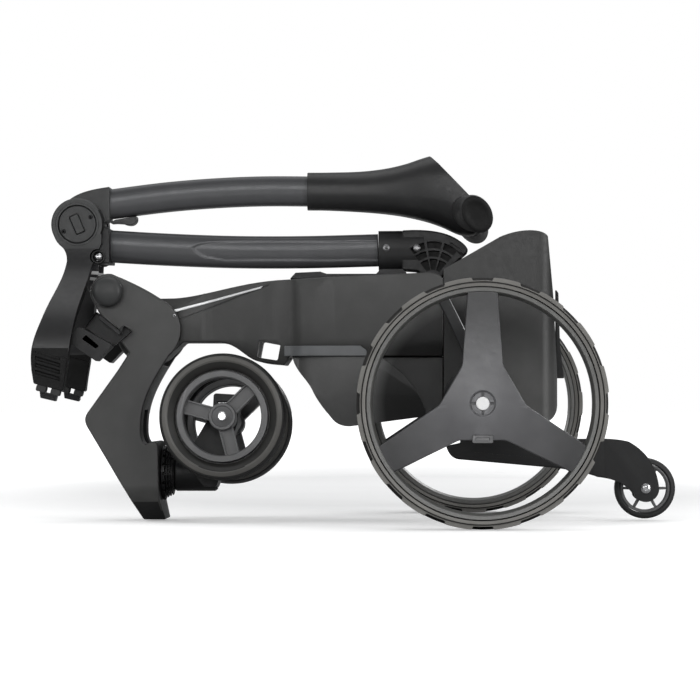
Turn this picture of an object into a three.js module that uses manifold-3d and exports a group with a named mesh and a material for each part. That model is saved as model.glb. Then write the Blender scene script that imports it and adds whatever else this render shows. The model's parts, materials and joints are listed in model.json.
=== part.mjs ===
// Electric golf trolley, folded flat for storage and standing on its two drive wheels.
// Millimetres. +X runs from the nose to the tail, +Y across, +Z up. Shapes are drawn from the
// point on the floor under the rear axle, and the assembly is then moved so that its origin is
// on the floor under the middle of its length. "near" pieces are on the -Y side, "far" on the +Y.
import * as THREE from "three";
import { mergeVertices } from "three/addons/utils/BufferGeometryUtils.js";
import Module from "manifold-3d";

const wasm = await Module();
wasm.setup();

// ---- driving dimensions ----
const GAP = 0.4; // clearance between pieces that touch
const SIDES = { near: -1, far: 1 };
const AXLE_TO_MIDDLE = 150.2; // from the rear axle forward to the middle of the folded length

// joint centres in the XZ plane
const AXLE = { x: 0, z: 148 };
const MAIN_HINGE = { x: -57, z: 304 };
const MID_JOINT = { x: -505, z: 374 };
const LEG_PIVOT = { x: -415, z: 240 };
const SWIVEL_Z = 60;
const CASTOR_AXLE = { x: -318, z: 127 };
const CASTOR_TILT = THREE.MathUtils.degToRad(-3); // the free castor leans a little when folded
const ANTITIP_AXLE = { x: 211, z: 41 };

// rear wheels
const REAR_TYRE_R = 148;
const REAR_RIM_R = 136;
const REAR_WHEEL_Y = 270;
const REAR_TYRE_HALF_WIDTH = 28;
const SPOKE_COUNT = 3;

// front wheels
const FRONT_TYRE_R = 79;
const FRONT_RIM_R = 57;
const FRONT_WHEEL_Y = 84;
const FRONT_TYRE_HALF_WIDTH = 20;

// anti-tip wheel
const ANTITIP_R = 38.5;

// body
const NECK_HALF_WIDTH = 37;
const BODY_HALF_WIDTH = 80;
const SLOT_HALF_WIDTH = 24;
const FACET_Z = 229; // below this level the shell sides lean inwards
const SEAM_Z = 207; // main shell above, tub below
const SHELL_REAR_X = -44;

// front leg
const CHEEK_INNER_Y = 41;
const CHEEK_OUTER_Y = 53;

// shafts
const TUBE_HALF_HEIGHT = 20.5;
const TUBE_HALF_WIDTH = 17;
const SOCKET_HALF_WIDTH = 21.5;
const MID_EAR_INNER_Y = 20;
const MID_EAR_OUTER_Y = 34;
const MID_DISC_R = 33;
const PIN_HEAD_R = 24;

// ---- materials ----
const finish = (color, roughness, metalness) => ({ color, roughness, metalness });
const FINISHES = {
  shell: finish(0x3d3d3c, 0.55, 0.0),
  shell_light: finish(0x6d7072, 0.45, 0.0),
  black_plastic: finish(0x1c1c1d, 0.6, 0.0),
  tube: finish(0x45474a, 0.38, 0.7),
  bright_trim: finish(0xd9dadb, 0.2, 0.9),
  steel: finish(0xc4c6c8, 0.25, 1.0),
  wheel: finish(0x48484c, 0.42, 0.1),
  wheel_light: finish(0x8a8a8c, 0.45, 0.1),
  tyre: finish(0x64625d, 0.75, 0.0),
  rubber: finish(0x232324, 0.85, 0.0),
  strap: finish(0x18181a, 0.9, 0.0),
  screen: finish(0x0b0d10, 0.08, 0.0),
};

const trolley = new THREE.Group();

// Adds a solid to a group as a named mesh with one of the finishes.
function place(name, body, finishName, group = trolley) {
  const mesh = new THREE.Mesh(geometryOf(body), new THREE.MeshStandardMaterial(FINISHES[finishName]));
  mesh.name = name;
  group.add(mesh);
  return mesh;
}

// ---- solids ----
// A closed BufferGeometry as a solid. A profile drawn inside out is turned round.
function solidOf(geometry) {
  const bare = geometry.clone();
  bare.deleteAttribute("normal");
  bare.deleteAttribute("uv");
  const merged = mergeVertices(bare, 1e-4);
  const kept = [];
  const index = merged.index.array;
  for (let i = 0; i < index.length; i += 3) {
    const [a, b, c] = index.slice(i, i + 3);
    if (a !== b && b !== c && c !== a) kept.push(a, b, c);
  }
  const build = (triVerts) =>
    new wasm.Manifold(
      new wasm.Mesh({
        numProp: 3,
        vertProperties: new Float32Array(merged.attributes.position.array),
        triVerts: new Uint32Array(triVerts),
      }),
    );
  const made = build(kept);
  if (made.volume() > 0) return made;
  const turned = [];
  for (let i = 0; i < kept.length; i += 3) turned.push(kept[i], kept[i + 2], kept[i + 1]);
  return build(turned);
}

function geometryOf(body) {
  const mesh = body.getMesh();
  const positions = new Float32Array(mesh.numVert * 3);
  for (let i = 0; i < mesh.numVert; i++)
    positions.set(mesh.vertProperties.subarray(i * mesh.numProp, i * mesh.numProp + 3), i * 3);
  const geometry = new THREE.BufferGeometry();
  geometry.setAttribute("position", new THREE.BufferAttribute(positions, 3));
  geometry.setIndex(new THREE.BufferAttribute(new Uint32Array(mesh.triVerts), 1));
  geometry.computeVertexNormals();
  return geometry;
}

const join = (first, ...rest) => rest.reduce((sum, body) => sum.add(body), first);
const cut = (first, ...rest) => rest.reduce((left, body) => left.subtract(body), first);

// A closed outline from corner points.
const polygon = (points) => new THREE.Shape(points.map(([a, b]) => new THREE.Vector2(a, b)));

function extruded(shape, depth, curveSegments = 6) {
  return new THREE.ExtrudeGeometry(shape, { depth, bevelEnabled: false, curveSegments });
}

// An XZ outline given thickness across Y.
function slab(shape, yLow, yHigh, curveSegments) {
  const geometry = extruded(shape, yHigh - yLow, curveSegments);
  geometry.rotateX(Math.PI / 2);
  geometry.translate(0, yHigh, 0);
  return solidOf(geometry);
}

// An XZ outline given thickness across Y on one side of the trolley.
function sideSlab(shape, side, innerY, outerY, curveSegments) {
  const s = SIDES[side];
  return s < 0
    ? slab(shape, -outerY, -innerY, curveSegments)
    : slab(shape, innerY, outerY, curveSegments);
}

// An XY outline given height along Z. Its Y sizes can shrink towards the bottom and the top.
function column(shape, zLow, zHigh, bottomScale = 1, topScale = 1) {
  const geometry = extruded(shape, zHigh - zLow);
  const position = geometry.attributes.position;
  for (let i = 0; i < position.count; i++) {
    const scale = position.getZ(i) > (zHigh - zLow) / 2 ? topScale : bottomScale;
    position.setY(i, position.getY(i) * scale);
  }
  geometry.translate(0, 0, zLow);
  return solidOf(geometry);
}

// A YZ outline given length along X.
function bar(shape, xLow, xHigh) {
  const geometry = extruded(shape, xHigh - xLow);
  geometry.rotateZ(Math.PI / 2);
  geometry.rotateY(Math.PI / 2);
  geometry.translate(xLow, 0, 0);
  return solidOf(geometry);
}

function box(low, high) {
  const size = high.map((h, i) => h - low[i]);
  const geometry = new THREE.BoxGeometry(...size);
  geometry.translate(...low.map((l, i) => l + size[i] / 2));
  return solidOf(geometry);
}

// A round bar along Y, from yLow to yHigh.
function drum(radius, centre, yLow, yHigh, segments = 24) {
  const geometry = new THREE.CylinderGeometry(radius, radius, yHigh - yLow, segments);
  geometry.translate(centre.x, (yLow + yHigh) / 2, centre.z);
  return solidOf(geometry);
}

// A round bar along Y on one side of the trolley.
function sideDrum(radius, centre, side, innerY, outerY, segments) {
  return SIDES[side] < 0
    ? drum(radius, centre, -outerY, -innerY, segments)
    : drum(radius, centre, innerY, outerY, segments);
}

// A round bar along X, centred on Y = 0.
function rod(radius, z, xLow, xHigh, segments = 22) {
  const geometry = new THREE.CylinderGeometry(radius, radius, xHigh - xLow, segments);
  geometry.rotateZ(Math.PI / 2);
  geometry.translate((xLow + xHigh) / 2, 0, z);
  return solidOf(geometry);
}

// A turned piece about an axis along Y. The profile lists [radius, y].
function turned(profile, centre, segments = 28) {
  const points = profile.map(([r, y]) => new THREE.Vector2(r, y));
  const geometry = new THREE.LatheGeometry(points, segments);
  geometry.translate(centre.x, 0, centre.z);
  return solidOf(geometry);
}

// A ring whose section is a closed [radius, y] outline.
function ring(section, centre, segments = 40) {
  return turned([...section, section[0]], centre, segments);
}

// Cuts away everything on the side of a plane that its normal points to.
function chop(body, point, normal) {
  const reach = 1200;
  const geometry = new THREE.BoxGeometry(reach, reach, reach);
  geometry.translate(0, 0, reach / 2);
  const turn = new THREE.Quaternion().setFromUnitVectors(
    new THREE.Vector3(0, 0, 1),
    new THREE.Vector3(...normal).normalize(),
  );
  geometry.applyQuaternion(turn);
  geometry.translate(...point);
  return cut(body, solidOf(geometry));
}

// The same cut on both sides of the trolley.
function chopBothSides(body, point, normal) {
  const mirrored = ([x, y, z]) => [x, -y, z];
  return chop(chop(body, point, normal), mirrored(point), mirrored(normal));
}

// A superellipse, the section of the aluminium shafts.
function ovalSection(halfWidth, halfHeight, power = 2.6, count = 20) {
  const points = [];
  for (let i = 0; i < count; i++) {
    const angle = (i / count) * 2 * Math.PI;
    const c = Math.cos(angle);
    const s = Math.sin(angle);
    points.push([
      halfWidth * Math.sign(c) * Math.abs(c) ** (2 / power),
      halfHeight * Math.sign(s) * Math.abs(s) ** (2 / power),
    ]);
  }
  return polygon(points);
}

// A section swept along a smooth line through points.
function swept(section, points, steps) {
  const path = new THREE.CatmullRomCurve3(points.map((p) => new THREE.Vector3(...p)));
  const geometry = new THREE.ExtrudeGeometry(section, { steps, extrudePath: path, bevelEnabled: false });
  return solidOf(geometry);
}

// ---- body shell ----
// Half the width of the shell from the neck to the tail, as [x, half-width].
const PLAN = [
  [-460, NECK_HALF_WIDTH],
  [-360, NECK_HALF_WIDTH],
  [-338, NECK_HALF_WIDTH + 1],
  [-322, 42],
  [-288, 52],
  [-258, 59],
  [-236, 63],
  [-218, 74],
  [-196, BODY_HALF_WIDTH - 1],
  [-150, BODY_HALF_WIDTH],
  [SHELL_REAR_X, BODY_HALF_WIDTH],
];

function planShape(extra = 0) {
  const half = new THREE.SplineCurve(PLAN.map(([x, w]) => new THREE.Vector2(x, w + extra)));
  const far = half.getPoints(20).map((p) => [p.x, p.y]);
  const near = far.map(([x, w]) => [x, -w]).reverse();
  return polygon([...far, ...near]);
}

// The shell's outer side view: a round neck end, a rising back and a belly over the front wheels.
function shellSide() {
  const neckR = 42.5;
  const shape = new THREE.Shape();
  shape.moveTo(-371, 225);
  shape.lineTo(-324, 225);
  shape.bezierCurveTo(-300, 222, -292, 204, -275, 200.5);
  shape.bezierCurveTo(-262, 197, -250, 198, -243, 196);
  shape.lineTo(-236, SEAM_Z);
  shape.lineTo(SHELL_REAR_X, SEAM_Z);
  shape.lineTo(SHELL_REAR_X, 300);
  shape.quadraticCurveTo(SHELL_REAR_X - 1, 310, -62, 311);
  shape.lineTo(-239, 303);
  shape.bezierCurveTo(-300, 301, -345, 282, -384, 281);
  shape.absarc(LEG_PIVOT.x, LEG_PIVOT.z, neckR, 1.31, (3 / 2) * Math.PI + 0.5, false);
  return shape;
}

// The open slot that the foot of the lower shaft swings through.
function hingeSlot() {
  const { x, z } = MAIN_HINGE;
  const shape = new THREE.Shape();
  shape.moveTo(x - 24, 420);
  shape.lineTo(x - 24, z + 4);
  shape.lineTo(x - 22, z);
  shape.absarc(x, z, 22, Math.PI, (3 / 2) * Math.PI, false);
  shape.lineTo(x, z - 70);
  shape.absarc(x, z, 70, (3 / 2) * Math.PI, (11 / 6) * Math.PI, false);
  shape.lineTo(64, 378);
  shape.lineTo(64, 420);
  return slab(shape, -SLOT_HALF_WIDTH, SLOT_HALF_WIDTH, 5);
}

// The neck's top facet, a plane through two points of its lower edge and one at its top.
function neckFacet() {
  const low = new THREE.Vector3(-383, -NECK_HALF_WIDTH, 266);
  const high = new THREE.Vector3(-262, -59, 304);
  const top = new THREE.Vector3(-383, -NECK_HALF_WIDTH + 14, 282);
  const along = high.clone().sub(low);
  const normal = top.clone().sub(low).cross(along).normalize();
  if (normal.z < 0) normal.negate();
  return { point: low.toArray(), normal: normal.toArray() };
}

const hingePinBore = () => drum(5 + GAP, MAIN_HINGE, -60, 60);
const legPinBore = () => drum(9 + GAP, LEG_PIVOT, -70, 70);

function mainShell() {
  const plan = planShape();
  const outer = join(
    column(plan, FACET_Z - 0.01, 340),
    column(plan, 190, FACET_Z, 0.8, 1),
  ).intersect(slab(shellSide(), -100, 100, 8));
  const facet = neckFacet();
  const tray = box([-222, -60, 213], [-88, 60, 340]);
  const cableWell = box([-86, -60, 150], [SHELL_REAR_X - 4, 60, 285]);
  const window = slab(
    polygon([
      [-274, 227],
      [-247.5, 222],
      [-251.5, 202],
      [-277.5, 206],
    ]),
    -100,
    100,
  );
  const body = cut(outer, tray, cableWell, window, hingeSlot(), hingePinBore(), legPinBore());
  return chopBothSides(body, facet.point, facet.normal);
}

// A slim inlay that follows the neck's side just under its top facet.
function neckTrim(side) {
  const band = cut(
    column(planShape(GAP + 1.2), FACET_Z, 320),
    column(planShape(GAP), FACET_Z - 1, 321),
  );
  const strip = polygon([
    [-383, 261],
    [-272, 290],
    [-270, 294],
    [-384, 265],
  ]);
  return band.intersect(sideSlab(strip, side, 20, 100));
}

// The rail that runs along the bottom edge of the shell's side.
function sideRail(side) {
  const zTop = 220;
  const band = cut(
    column(planShape(4), SEAM_Z, zTop),
    column(planShape(GAP), SEAM_Z - 1, zTop + 1),
    column(planShape(GAP), 190, FACET_Z, 0.8, 1),
  );
  const ends = sideSlab(
    polygon([
      [-243, SEAM_Z],
      [-139, SEAM_Z],
      [-139, 214],
      [-147, zTop],
      [-243, zTop],
    ]),
    side,
    50,
    100,
  );
  return band.intersect(ends);
}

const TUB_PLAN = [
  [-246, 48],
  [-232, 52],
  [-214, 66],
  [-192, 74],
  [-160, 77],
  [-46, 77],
];

function tubSide() {
  const shape = new THREE.Shape();
  shape.moveTo(-233, SEAM_Z - GAP);
  shape.bezierCurveTo(-228, 186, -214, 180, -206, 162);
  shape.bezierCurveTo(-199, 148, -190, 138, -182, 128);
  shape.quadraticCurveTo(-174, 119, -160, 119.5);
  shape.lineTo(-46, 134.6);
  shape.lineTo(-46, SEAM_Z - GAP);
  return shape;
}

// The tub: wide in front of a curved seam, and stepped in behind it to clear the drive units.
function lowerTub() {
  const half = new THREE.SplineCurve(TUB_PLAN.map(([x, w]) => new THREE.Vector2(x, w)));
  const far = half.getPoints(10).map((p) => [p.x, p.y]);
  const near = far.map(([x, w]) => [x, -w]).reverse();
  const plan = polygon([...far, ...near]);
  const wide = column(plan, 160, SEAM_Z).add(column(plan, 100, 160.01, 0.72, 1));
  const frontOfSeam = new THREE.Shape();
  frontOfSeam.moveTo(-260, 90);
  frontOfSeam.lineTo(-62, 90);
  frontOfSeam.lineTo(-66, 136);
  frontOfSeam.quadraticCurveTo(-80, 184, -126, SEAM_Z);
  frontOfSeam.lineTo(-260, SEAM_Z);
  const slim = slab(tubSide(), -58, 58).intersect(wide);
  const bulge = slab(tubSide(), -90, 90).intersect(wide).intersect(slab(frontOfSeam, -90, 90));
  const hollow = slab(
    polygon([
      [-206, SEAM_Z + 1],
      [-176, 132],
      [-52, 142],
      [-52, SEAM_Z + 1],
    ]),
    -54,
    54,
  );
  return cut(join(slim, bulge), hollow);
}

// ---- rear housing ----
function housingSide(inset = 0) {
  const left = SHELL_REAR_X + GAP + inset;
  const shape = new THREE.Shape();
  shape.moveTo(left, 125);
  shape.lineTo(left, 315 - inset);
  shape.lineTo(26, 355 - inset);
  shape.bezierCurveTo(50, 366 - inset, 80 - inset, 366 - inset, 86 - inset, 356 - inset);
  shape.lineTo(93 - inset, 280);
  shape.lineTo(98 - inset, 180);
  shape.lineTo(98 - inset, 146);
  shape.quadraticCurveTo(97 - inset, 130, 84 - inset, 125);
  return shape;
}

function housingPlan(inset = 0) {
  const halfWidth = BODY_HALF_WIDTH - 2 - inset;
  const right = 99 - inset;
  const corner = 30;
  const shape = new THREE.Shape();
  shape.moveTo(-60, -halfWidth);
  shape.lineTo(right - corner, -halfWidth);
  shape.quadraticCurveTo(right, -halfWidth, right, -halfWidth + corner);
  shape.lineTo(right, halfWidth - corner);
  shape.quadraticCurveTo(right, halfWidth, right - corner, halfWidth);
  shape.lineTo(-60, halfWidth);
  return shape;
}

function rearHousing() {
  const wall = 4;
  const outer = slab(housingSide(), -90, 90).intersect(column(housingPlan(), 100, 400));
  const inner = slab(housingSide(wall), -90, 90)
    .intersect(column(housingPlan(wall), 100, 400))
    .add(box([SHELL_REAR_X - 1, -70, 100], [92, 70, 180]));
  const axleClearance = drum(34 + GAP, AXLE, -100, 100);
  const notch = box([88, -6, 322], [100, 6, 328]);
  return cut(outer, inner, hingeSlot(), axleClearance, notch);
}

function rearSpine() {
  const shape = polygon([
    [98.5 + GAP, 292],
    [102, 288],
    [104, 222],
    [109, 180],
    [98.5 + GAP, 180],
  ]);
  return slab(shape, -11, 11);
}

// ---- battery ----
function battery() {
  const block = box([-221, -59, 214], [-90, 59, 305]);
  const cap = slab(
    polygon([
      [-236, 304.5],
      [-228, 308],
      [-198, 309],
      [-190, 306],
      [-128, 306],
      [-122, 313],
      [-95, 313],
      [-90, 309],
      [-90, 304.5],
    ]),
    -52,
    52,
  );
  const grasp = box([-188, -30, 296], [-130, 30, 320]);
  return cut(join(block, cap), grasp);
}

// The carrying handle bridges the hand recess in the battery's top.
function batteryHandle() {
  const shape = polygon([
    [-186, 297],
    [-178, 297],
    [-172, 305],
    [-146, 305],
    [-140, 297],
    [-132, 297],
    [-140, 310],
    [-178, 310],
  ]);
  return slab(shape, -9, 9);
}

// ---- drive line ----
const BOX_INNER_Y = 150;
const BOX_OUTER_Y = 214;

const axleHousing = () => drum(34, AXLE, -BOX_INNER_Y + GAP, BOX_INNER_Y - GAP, 32);

// A round gearbox whose output shaft carries the wheel.
function driveUnit(side) {
  const s = SIDES[side];
  const profile = [
    [0, BOX_INNER_Y],
    [40, BOX_INNER_Y],
    [46, BOX_INNER_Y + 6],
    [46, BOX_OUTER_Y - 12],
    [36, BOX_OUTER_Y],
    [14, BOX_OUTER_Y],
    [14, 236],
    [8, 236],
    [8, 292],
    [0, 292],
  ].map(([r, y]) => [r, s * y]);
  return turned(profile, AXLE, 30);
}

// The brace from the shell's side down to the top of a gearbox.
function driveStrut(side) {
  const s = SIDES[side];
  const section = polygon([
    [-4, -7],
    [4, -7],
    [4, 7],
    [-4, 7],
  ]);
  return swept(
    section,
    [
      [-47, s * 86, 283],
      [-42, s * 104, 272],
      [-26, s * 142, 238],
      [-9, s * 166, 199],
    ],
    10,
  );
}

// ---- anti-tip arm ----
function antitipArm() {
  const shape = new THREE.Shape();
  shape.moveTo(-40, 94);
  shape.quadraticCurveTo(-36, 79, -24, 77.5);
  shape.lineTo(101, 66.5);
  shape.quadraticCurveTo(140, 60, 150, 55.5);
  shape.bezierCurveTo(175, 53, 188, 45, 197, 34);
  shape.absarc(ANTITIP_AXLE.x, ANTITIP_AXLE.z, 17, -2.6, -0.1, false);
  shape.bezierCurveTo(226, 68, 212, 88, 190, 100);
  shape.quadraticCurveTo(180, 103, 160, 103.5);
  shape.lineTo(22, 102.5);
  shape.lineTo(22, 113.5);
  shape.lineTo(-22, 113.5);
  shape.lineTo(-22, 98);
  const half = 22;
  const wheelRoom = join(
    drum(ANTITIP_R + 3, ANTITIP_AXLE, -13.5, 13.5),
    box([ANTITIP_AXLE.x, -13.5, 0], [260, 13.5, 110]),
  );
  return cut(slab(shape, -half, half), wheelRoom, drum(4 + GAP, ANTITIP_AXLE, -30, 30, 20));
}

// ---- wheels ----
// One straight spoke as an XZ outline, pointing up from the wheel centre.
function spokeShape(centre, innerR, outerR, innerHalf, outerHalf) {
  return polygon([
    [centre.x - innerHalf, centre.z + innerR],
    [centre.x + innerHalf, centre.z + innerR],
    [centre.x + outerHalf, centre.z + outerR],
    [centre.x - outerHalf, centre.z + outerR],
  ]);
}

function turnedCopies(shape, centre, count, firstAngle, yLow, yHigh) {
  const copies = [];
  for (let i = 0; i < count; i++) {
    const geometry = extruded(shape, yHigh - yLow);
    geometry.rotateX(Math.PI / 2);
    geometry.translate(-centre.x, yHigh, -centre.z);
    geometry.rotateY(firstAngle + (i * 2 * Math.PI) / count);
    geometry.translate(centre.x, 0, centre.z);
    copies.push(solidOf(geometry));
  }
  return copies;
}

function rearTyre(side) {
  const y = SIDES[side] * REAR_WHEEL_Y;
  const w = REAR_TYRE_HALF_WIDTH;
  const section = [
    [REAR_RIM_R + GAP, -w + 2],
    [REAR_TYRE_R - 8, -w],
    [REAR_TYRE_R, -w + 9],
    [REAR_TYRE_R, w - 9],
    [REAR_TYRE_R - 8, w],
    [REAR_RIM_R + GAP, w - 2],
  ].map(([r, dy]) => [r, y + dy]);
  return ring(section, AXLE, 54);
}

const BUTTON = { halfWidth: 12, low: -46, high: -37, depth: 14 };

// Three broad spokes and a domed hub inside a deep ring, all flush with the wheel's outer face.
function rearRim(side) {
  const s = SIDES[side];
  const outer = s * (REAR_WHEEL_Y + 22);
  const inner = s * (REAR_WHEEL_Y - 24);
  const hoop = ring(
    [
      [REAR_RIM_R, inner],
      [REAR_RIM_R, outer],
      [REAR_RIM_R - 5, outer],
      [REAR_RIM_R - 7, outer - s * 8],
      [REAR_RIM_R - 7, inner],
    ],
    AXLE,
    54,
  );
  const spokeFaces = [outer - s * 18, outer - s * 1].sort((a, b) => a - b);
  const spokes = turnedCopies(
    spokeShape(AXLE, 20, REAR_RIM_R - 3, 24, 17.5),
    AXLE,
    SPOKE_COUNT,
    0,
    ...spokeFaces,
  );
  const hub = turned(
    [
      [0, outer - s * 24],
      [42, outer - s * 24],
      [44, outer - s * 6],
      [30, outer + s * 4],
      [0, outer + s * 6],
    ],
    AXLE,
    30,
  );
  const face = REAR_WHEEL_Y + 22;
  const socket = sideDrum(14 + GAP, AXLE, side, face - 70, face - 50);
  const bore = sideDrum(8 + GAP, AXLE, side, face - 60, face + 20);
  const b = BUTTON;
  const slotYs = [outer - s * b.depth, outer + s * 20].sort((a, c) => a - c);
  const slot = box(
    [AXLE.x - b.halfWidth - GAP, slotYs[0], AXLE.z + b.low - GAP],
    [AXLE.x + b.halfWidth + GAP, slotYs[1], AXLE.z + b.high + GAP],
  );
  return cut(join(hoop, hub, ...spokes), bore, slot, socket);
}

// The quick-release button, raised from the hub by its travel.
const BUTTON_TRAVEL = 4;
function releaseButton(side) {
  const s = SIDES[side];
  const outer = s * (REAR_WHEEL_Y + 22);
  const b = BUTTON;
  const ys = [outer - s * (b.depth - BUTTON_TRAVEL - GAP), outer + s * 5].sort((a, c) => a - c);
  return box(
    [AXLE.x - b.halfWidth, ys[0], AXLE.z + b.low],
    [AXLE.x + b.halfWidth, ys[1], AXLE.z + b.high],
  );
}

function frontTyre(side) {
  const y = SIDES[side] * FRONT_WHEEL_Y;
  const w = FRONT_TYRE_HALF_WIDTH;
  const section = [
    [FRONT_RIM_R + GAP, -w + 3],
    [FRONT_TYRE_R - 9, -w],
    [FRONT_TYRE_R, -w + 9],
    [FRONT_TYRE_R, w - 9],
    [FRONT_TYRE_R - 9, w],
    [FRONT_RIM_R + GAP, w - 3],
  ].map(([r, dy]) => [r, y + dy]);
  return ring(section, CASTOR_AXLE, 40);
}

function frontRim(side) {
  const s = SIDES[side];
  const y = s * FRONT_WHEEL_Y;
  const w = FRONT_TYRE_HALF_WIDTH - 3;
  const hoop = ring(
    [
      [FRONT_RIM_R, y - w],
      [FRONT_RIM_R, y + w],
      [FRONT_RIM_R - 7, y + w],
      [FRONT_RIM_R - 9, y],
      [FRONT_RIM_R - 7, y - w],
    ],
    CASTOR_AXLE,
    40,
  );
  const spokes = turnedCopies(
    spokeShape(CASTOR_AXLE, 10, FRONT_RIM_R - 6, 9, 9),
    CASTOR_AXLE,
    SPOKE_COUNT,
    THREE.MathUtils.degToRad(45),
    y - 8,
    y + 8,
  );
  const hub = drum(17, CASTOR_AXLE, y - 14, y + 14);
  return cut(join(hoop, hub, ...spokes), drum(6 + GAP, CASTOR_AXLE, y - 40, y + 40, 16));
}

function antitipRim() {
  const hoop = ring(
    [
      [31, -8],
      [31, 8],
      [28, 8],
      [28, -8],
    ],
    ANTITIP_AXLE,
    28,
  );
  const spokes = turnedCopies(
    spokeShape(ANTITIP_AXLE, 5, 30, 1.6, 1.6),
    ANTITIP_AXLE,
    6,
    0,
    -6,
    6,
  );
  const hub = drum(8, ANTITIP_AXLE, -11, 11, 16);
  return cut(join(hoop, hub, ...spokes), drum(4 + GAP, ANTITIP_AXLE, -30, 30, 12));
}

function antitipTyre() {
  return ring(
    [
      [31 + GAP, -9],
      [36, -10],
      [ANTITIP_R, -6],
      [ANTITIP_R, 6],
      [36, 10],
      [31 + GAP, 9],
    ],
    ANTITIP_AXLE,
    28,
  );
}

// ---- lower shaft ----
const LOWER_TUBE_LINE = [
  [-471.5, 0, 348.3],
  [-395, 0, 343.8],
  [-310, 0, 340.6],
  [-220, 0, 340.3],
  [-126, 0, 342.6],
];

const lowerTube = () =>
  swept(ovalSection(TUBE_HALF_WIDTH, TUBE_HALF_HEIGHT), LOWER_TUBE_LINE, 8);

// The fan of ribs in the hinge socket: angles about the main hinge, in radians.
const FAN = { count: 4, from: 0.62, step: 0.41, rib: 0.08 };

// The cast foot of the lower shaft: a fan of ribs that turns on the main hinge pin.
function hingeSocket() {
  const { x, z } = MAIN_HINGE;
  const shape = new THREE.Shape();
  shape.moveTo(-125.5, 317);
  shape.lineTo(-76, 315);
  shape.lineTo(x - 10, z + 2);
  shape.absarc(x, z, 10, Math.PI, 2 * Math.PI, false);
  shape.lineTo(-38, 316);
  shape.lineTo(-14, 338);
  shape.quadraticCurveTo(-10, 343, -18, 350);
  shape.bezierCurveTo(-34, 364, -56, 368, -84, 367.5);
  shape.lineTo(-125.5, 366);
  const w = SOCKET_HALF_WIDTH;
  const pockets = [];
  for (const side of ["near", "far"])
    for (let i = 0; i < FAN.count; i++) {
      const from = FAN.from + i * FAN.step;
      pockets.push(sideSlab(fanPocket(from, from + FAN.step - FAN.rib), side, 9, 30, 2));
    }
  return cut(slab(shape, -w, w), ...pockets, drum(5 + GAP, MAIN_HINGE, -60, 60, 16));
}

// The hollow between two ribs of the fan, between two angles about the main hinge.
function fanPocket(from, to) {
  const { x, z } = MAIN_HINGE;
  const shape = new THREE.Shape();
  shape.absarc(x, z, 24, from, to, false);
  shape.absarc(x, z, 50, to, from, true);
  return shape;
}

// The lower half of the mid joint: a block on the tube's end with an ear on each side.
function midJointLower() {
  const { x, z } = MID_JOINT;
  const ear = new THREE.Shape();
  ear.moveTo(-465, 325);
  ear.lineTo(-465, 369);
  ear.quadraticCurveTo(-470, 372, x + 33, z - 2);
  ear.absarc(x, z, MID_DISC_R, -0.05, Math.PI * 1.25, false);
  ear.quadraticCurveTo(-512, 332, -490, 326);
  const block = polygon([
    [-465, 325],
    [-465, 369],
    [-470, 369],
    [-482, 344],
    [-490, 326],
  ]);
  const outer = join(
    slab(ear, -MID_EAR_OUTER_Y, -MID_EAR_INNER_Y, 8),
    slab(ear, MID_EAR_INNER_Y, MID_EAR_OUTER_Y, 8),
    slab(block, -MID_EAR_OUTER_Y, MID_EAR_OUTER_Y),
  );
  const tubeRoom = swept(
    ovalSection(TUBE_HALF_WIDTH + GAP, TUBE_HALF_HEIGHT + GAP),
    [
      [-472, 0, 348.4],
      [-440, 0, 346.4],
      [-400, 0, 344.1],
    ],
    4,
  );
  return cut(outer, tubeRoom, drum(9 + GAP, MID_JOINT, -60, 60), lockPinBore());
}

// The joint pin, with a broad head on each side that sits inside the bag arm's boss.
function midJointPin() {
  const head = MID_EAR_OUTER_Y + GAP;
  return turned(
    [
      [0, -head - 6],
      [PIN_HEAD_R - 1, -head - 6],
      [PIN_HEAD_R, -head - 4],
      [PIN_HEAD_R, -head],
      [9, -head],
      [9, head],
      [PIN_HEAD_R, head],
      [PIN_HEAD_R, head + 4],
      [PIN_HEAD_R - 1, head + 6],
      [0, head + 6],
    ],
    MID_JOINT,
  );
}

const LOCK_PIN = { x: -479, z: 333 };
const lockPinBore = () => drum(6.3 + GAP, LOCK_PIN, -60, 60, 16);

function lockPin() {
  const end = MID_EAR_OUTER_Y;
  return turned(
    [
      [0, -end - 6],
      [3.5, -end - 5],
      [6.3, -end - 1],
      [6.3, end + 1],
      [3.5, end + 5],
      [0, end + 6],
    ],
    LOCK_PIN,
    16,
  );
}

// The side view of an upper bag arm, from the mid joint down to its cradle.
function bagArmSide() {
  const shape = new THREE.Shape();
  shape.moveTo(-535, 361);
  shape.quadraticCurveTo(-532, 351, -520, 343);
  shape.quadraticCurveTo(-508, 336, -509, 322);
  shape.bezierCurveTo(-516, 282, -526, 262, -545, 226);
  shape.quadraticCurveTo(-553, 206, -548, 174);
  shape.lineTo(-512, 165);
  shape.lineTo(-506, 202);
  shape.bezierCurveTo(-502, 250, -492, 284, -486, 318);
  shape.quadraticCurveTo(-483, 330, -474, 350);
  shape.lineTo(-474, 362);
  return shape;
}

const BOSS_DEPTH = 6; // thickness of the ring at the arm's top that turns round the pin head

// The front view of an upper bag arm: down from its boss, flaring outwards to the cradle.
function bagArmFront(side) {
  const s = SIDES[side];
  const start = MID_EAR_OUTER_Y + GAP;
  const shape = new THREE.Shape();
  shape.moveTo(s * start, 374);
  shape.lineTo(s * (start + BOSS_DEPTH), 374);
  shape.lineTo(s * (start + BOSS_DEPTH), 350);
  shape.bezierCurveTo(s * 44, 318, s * 60, 306, s * 84, 284);
  shape.bezierCurveTo(s * 108, 262, s * 124, 240, s * 124, 210);
  shape.lineTo(s * 124, 160);
  shape.lineTo(s * 108, 160);
  shape.lineTo(s * 108, 212);
  shape.bezierCurveTo(s * 106, 236, s * 92, 252, s * 72, 268);
  shape.bezierCurveTo(s * 52, 284, s * 38, 300, s * start, 326);
  return shape;
}

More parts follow.
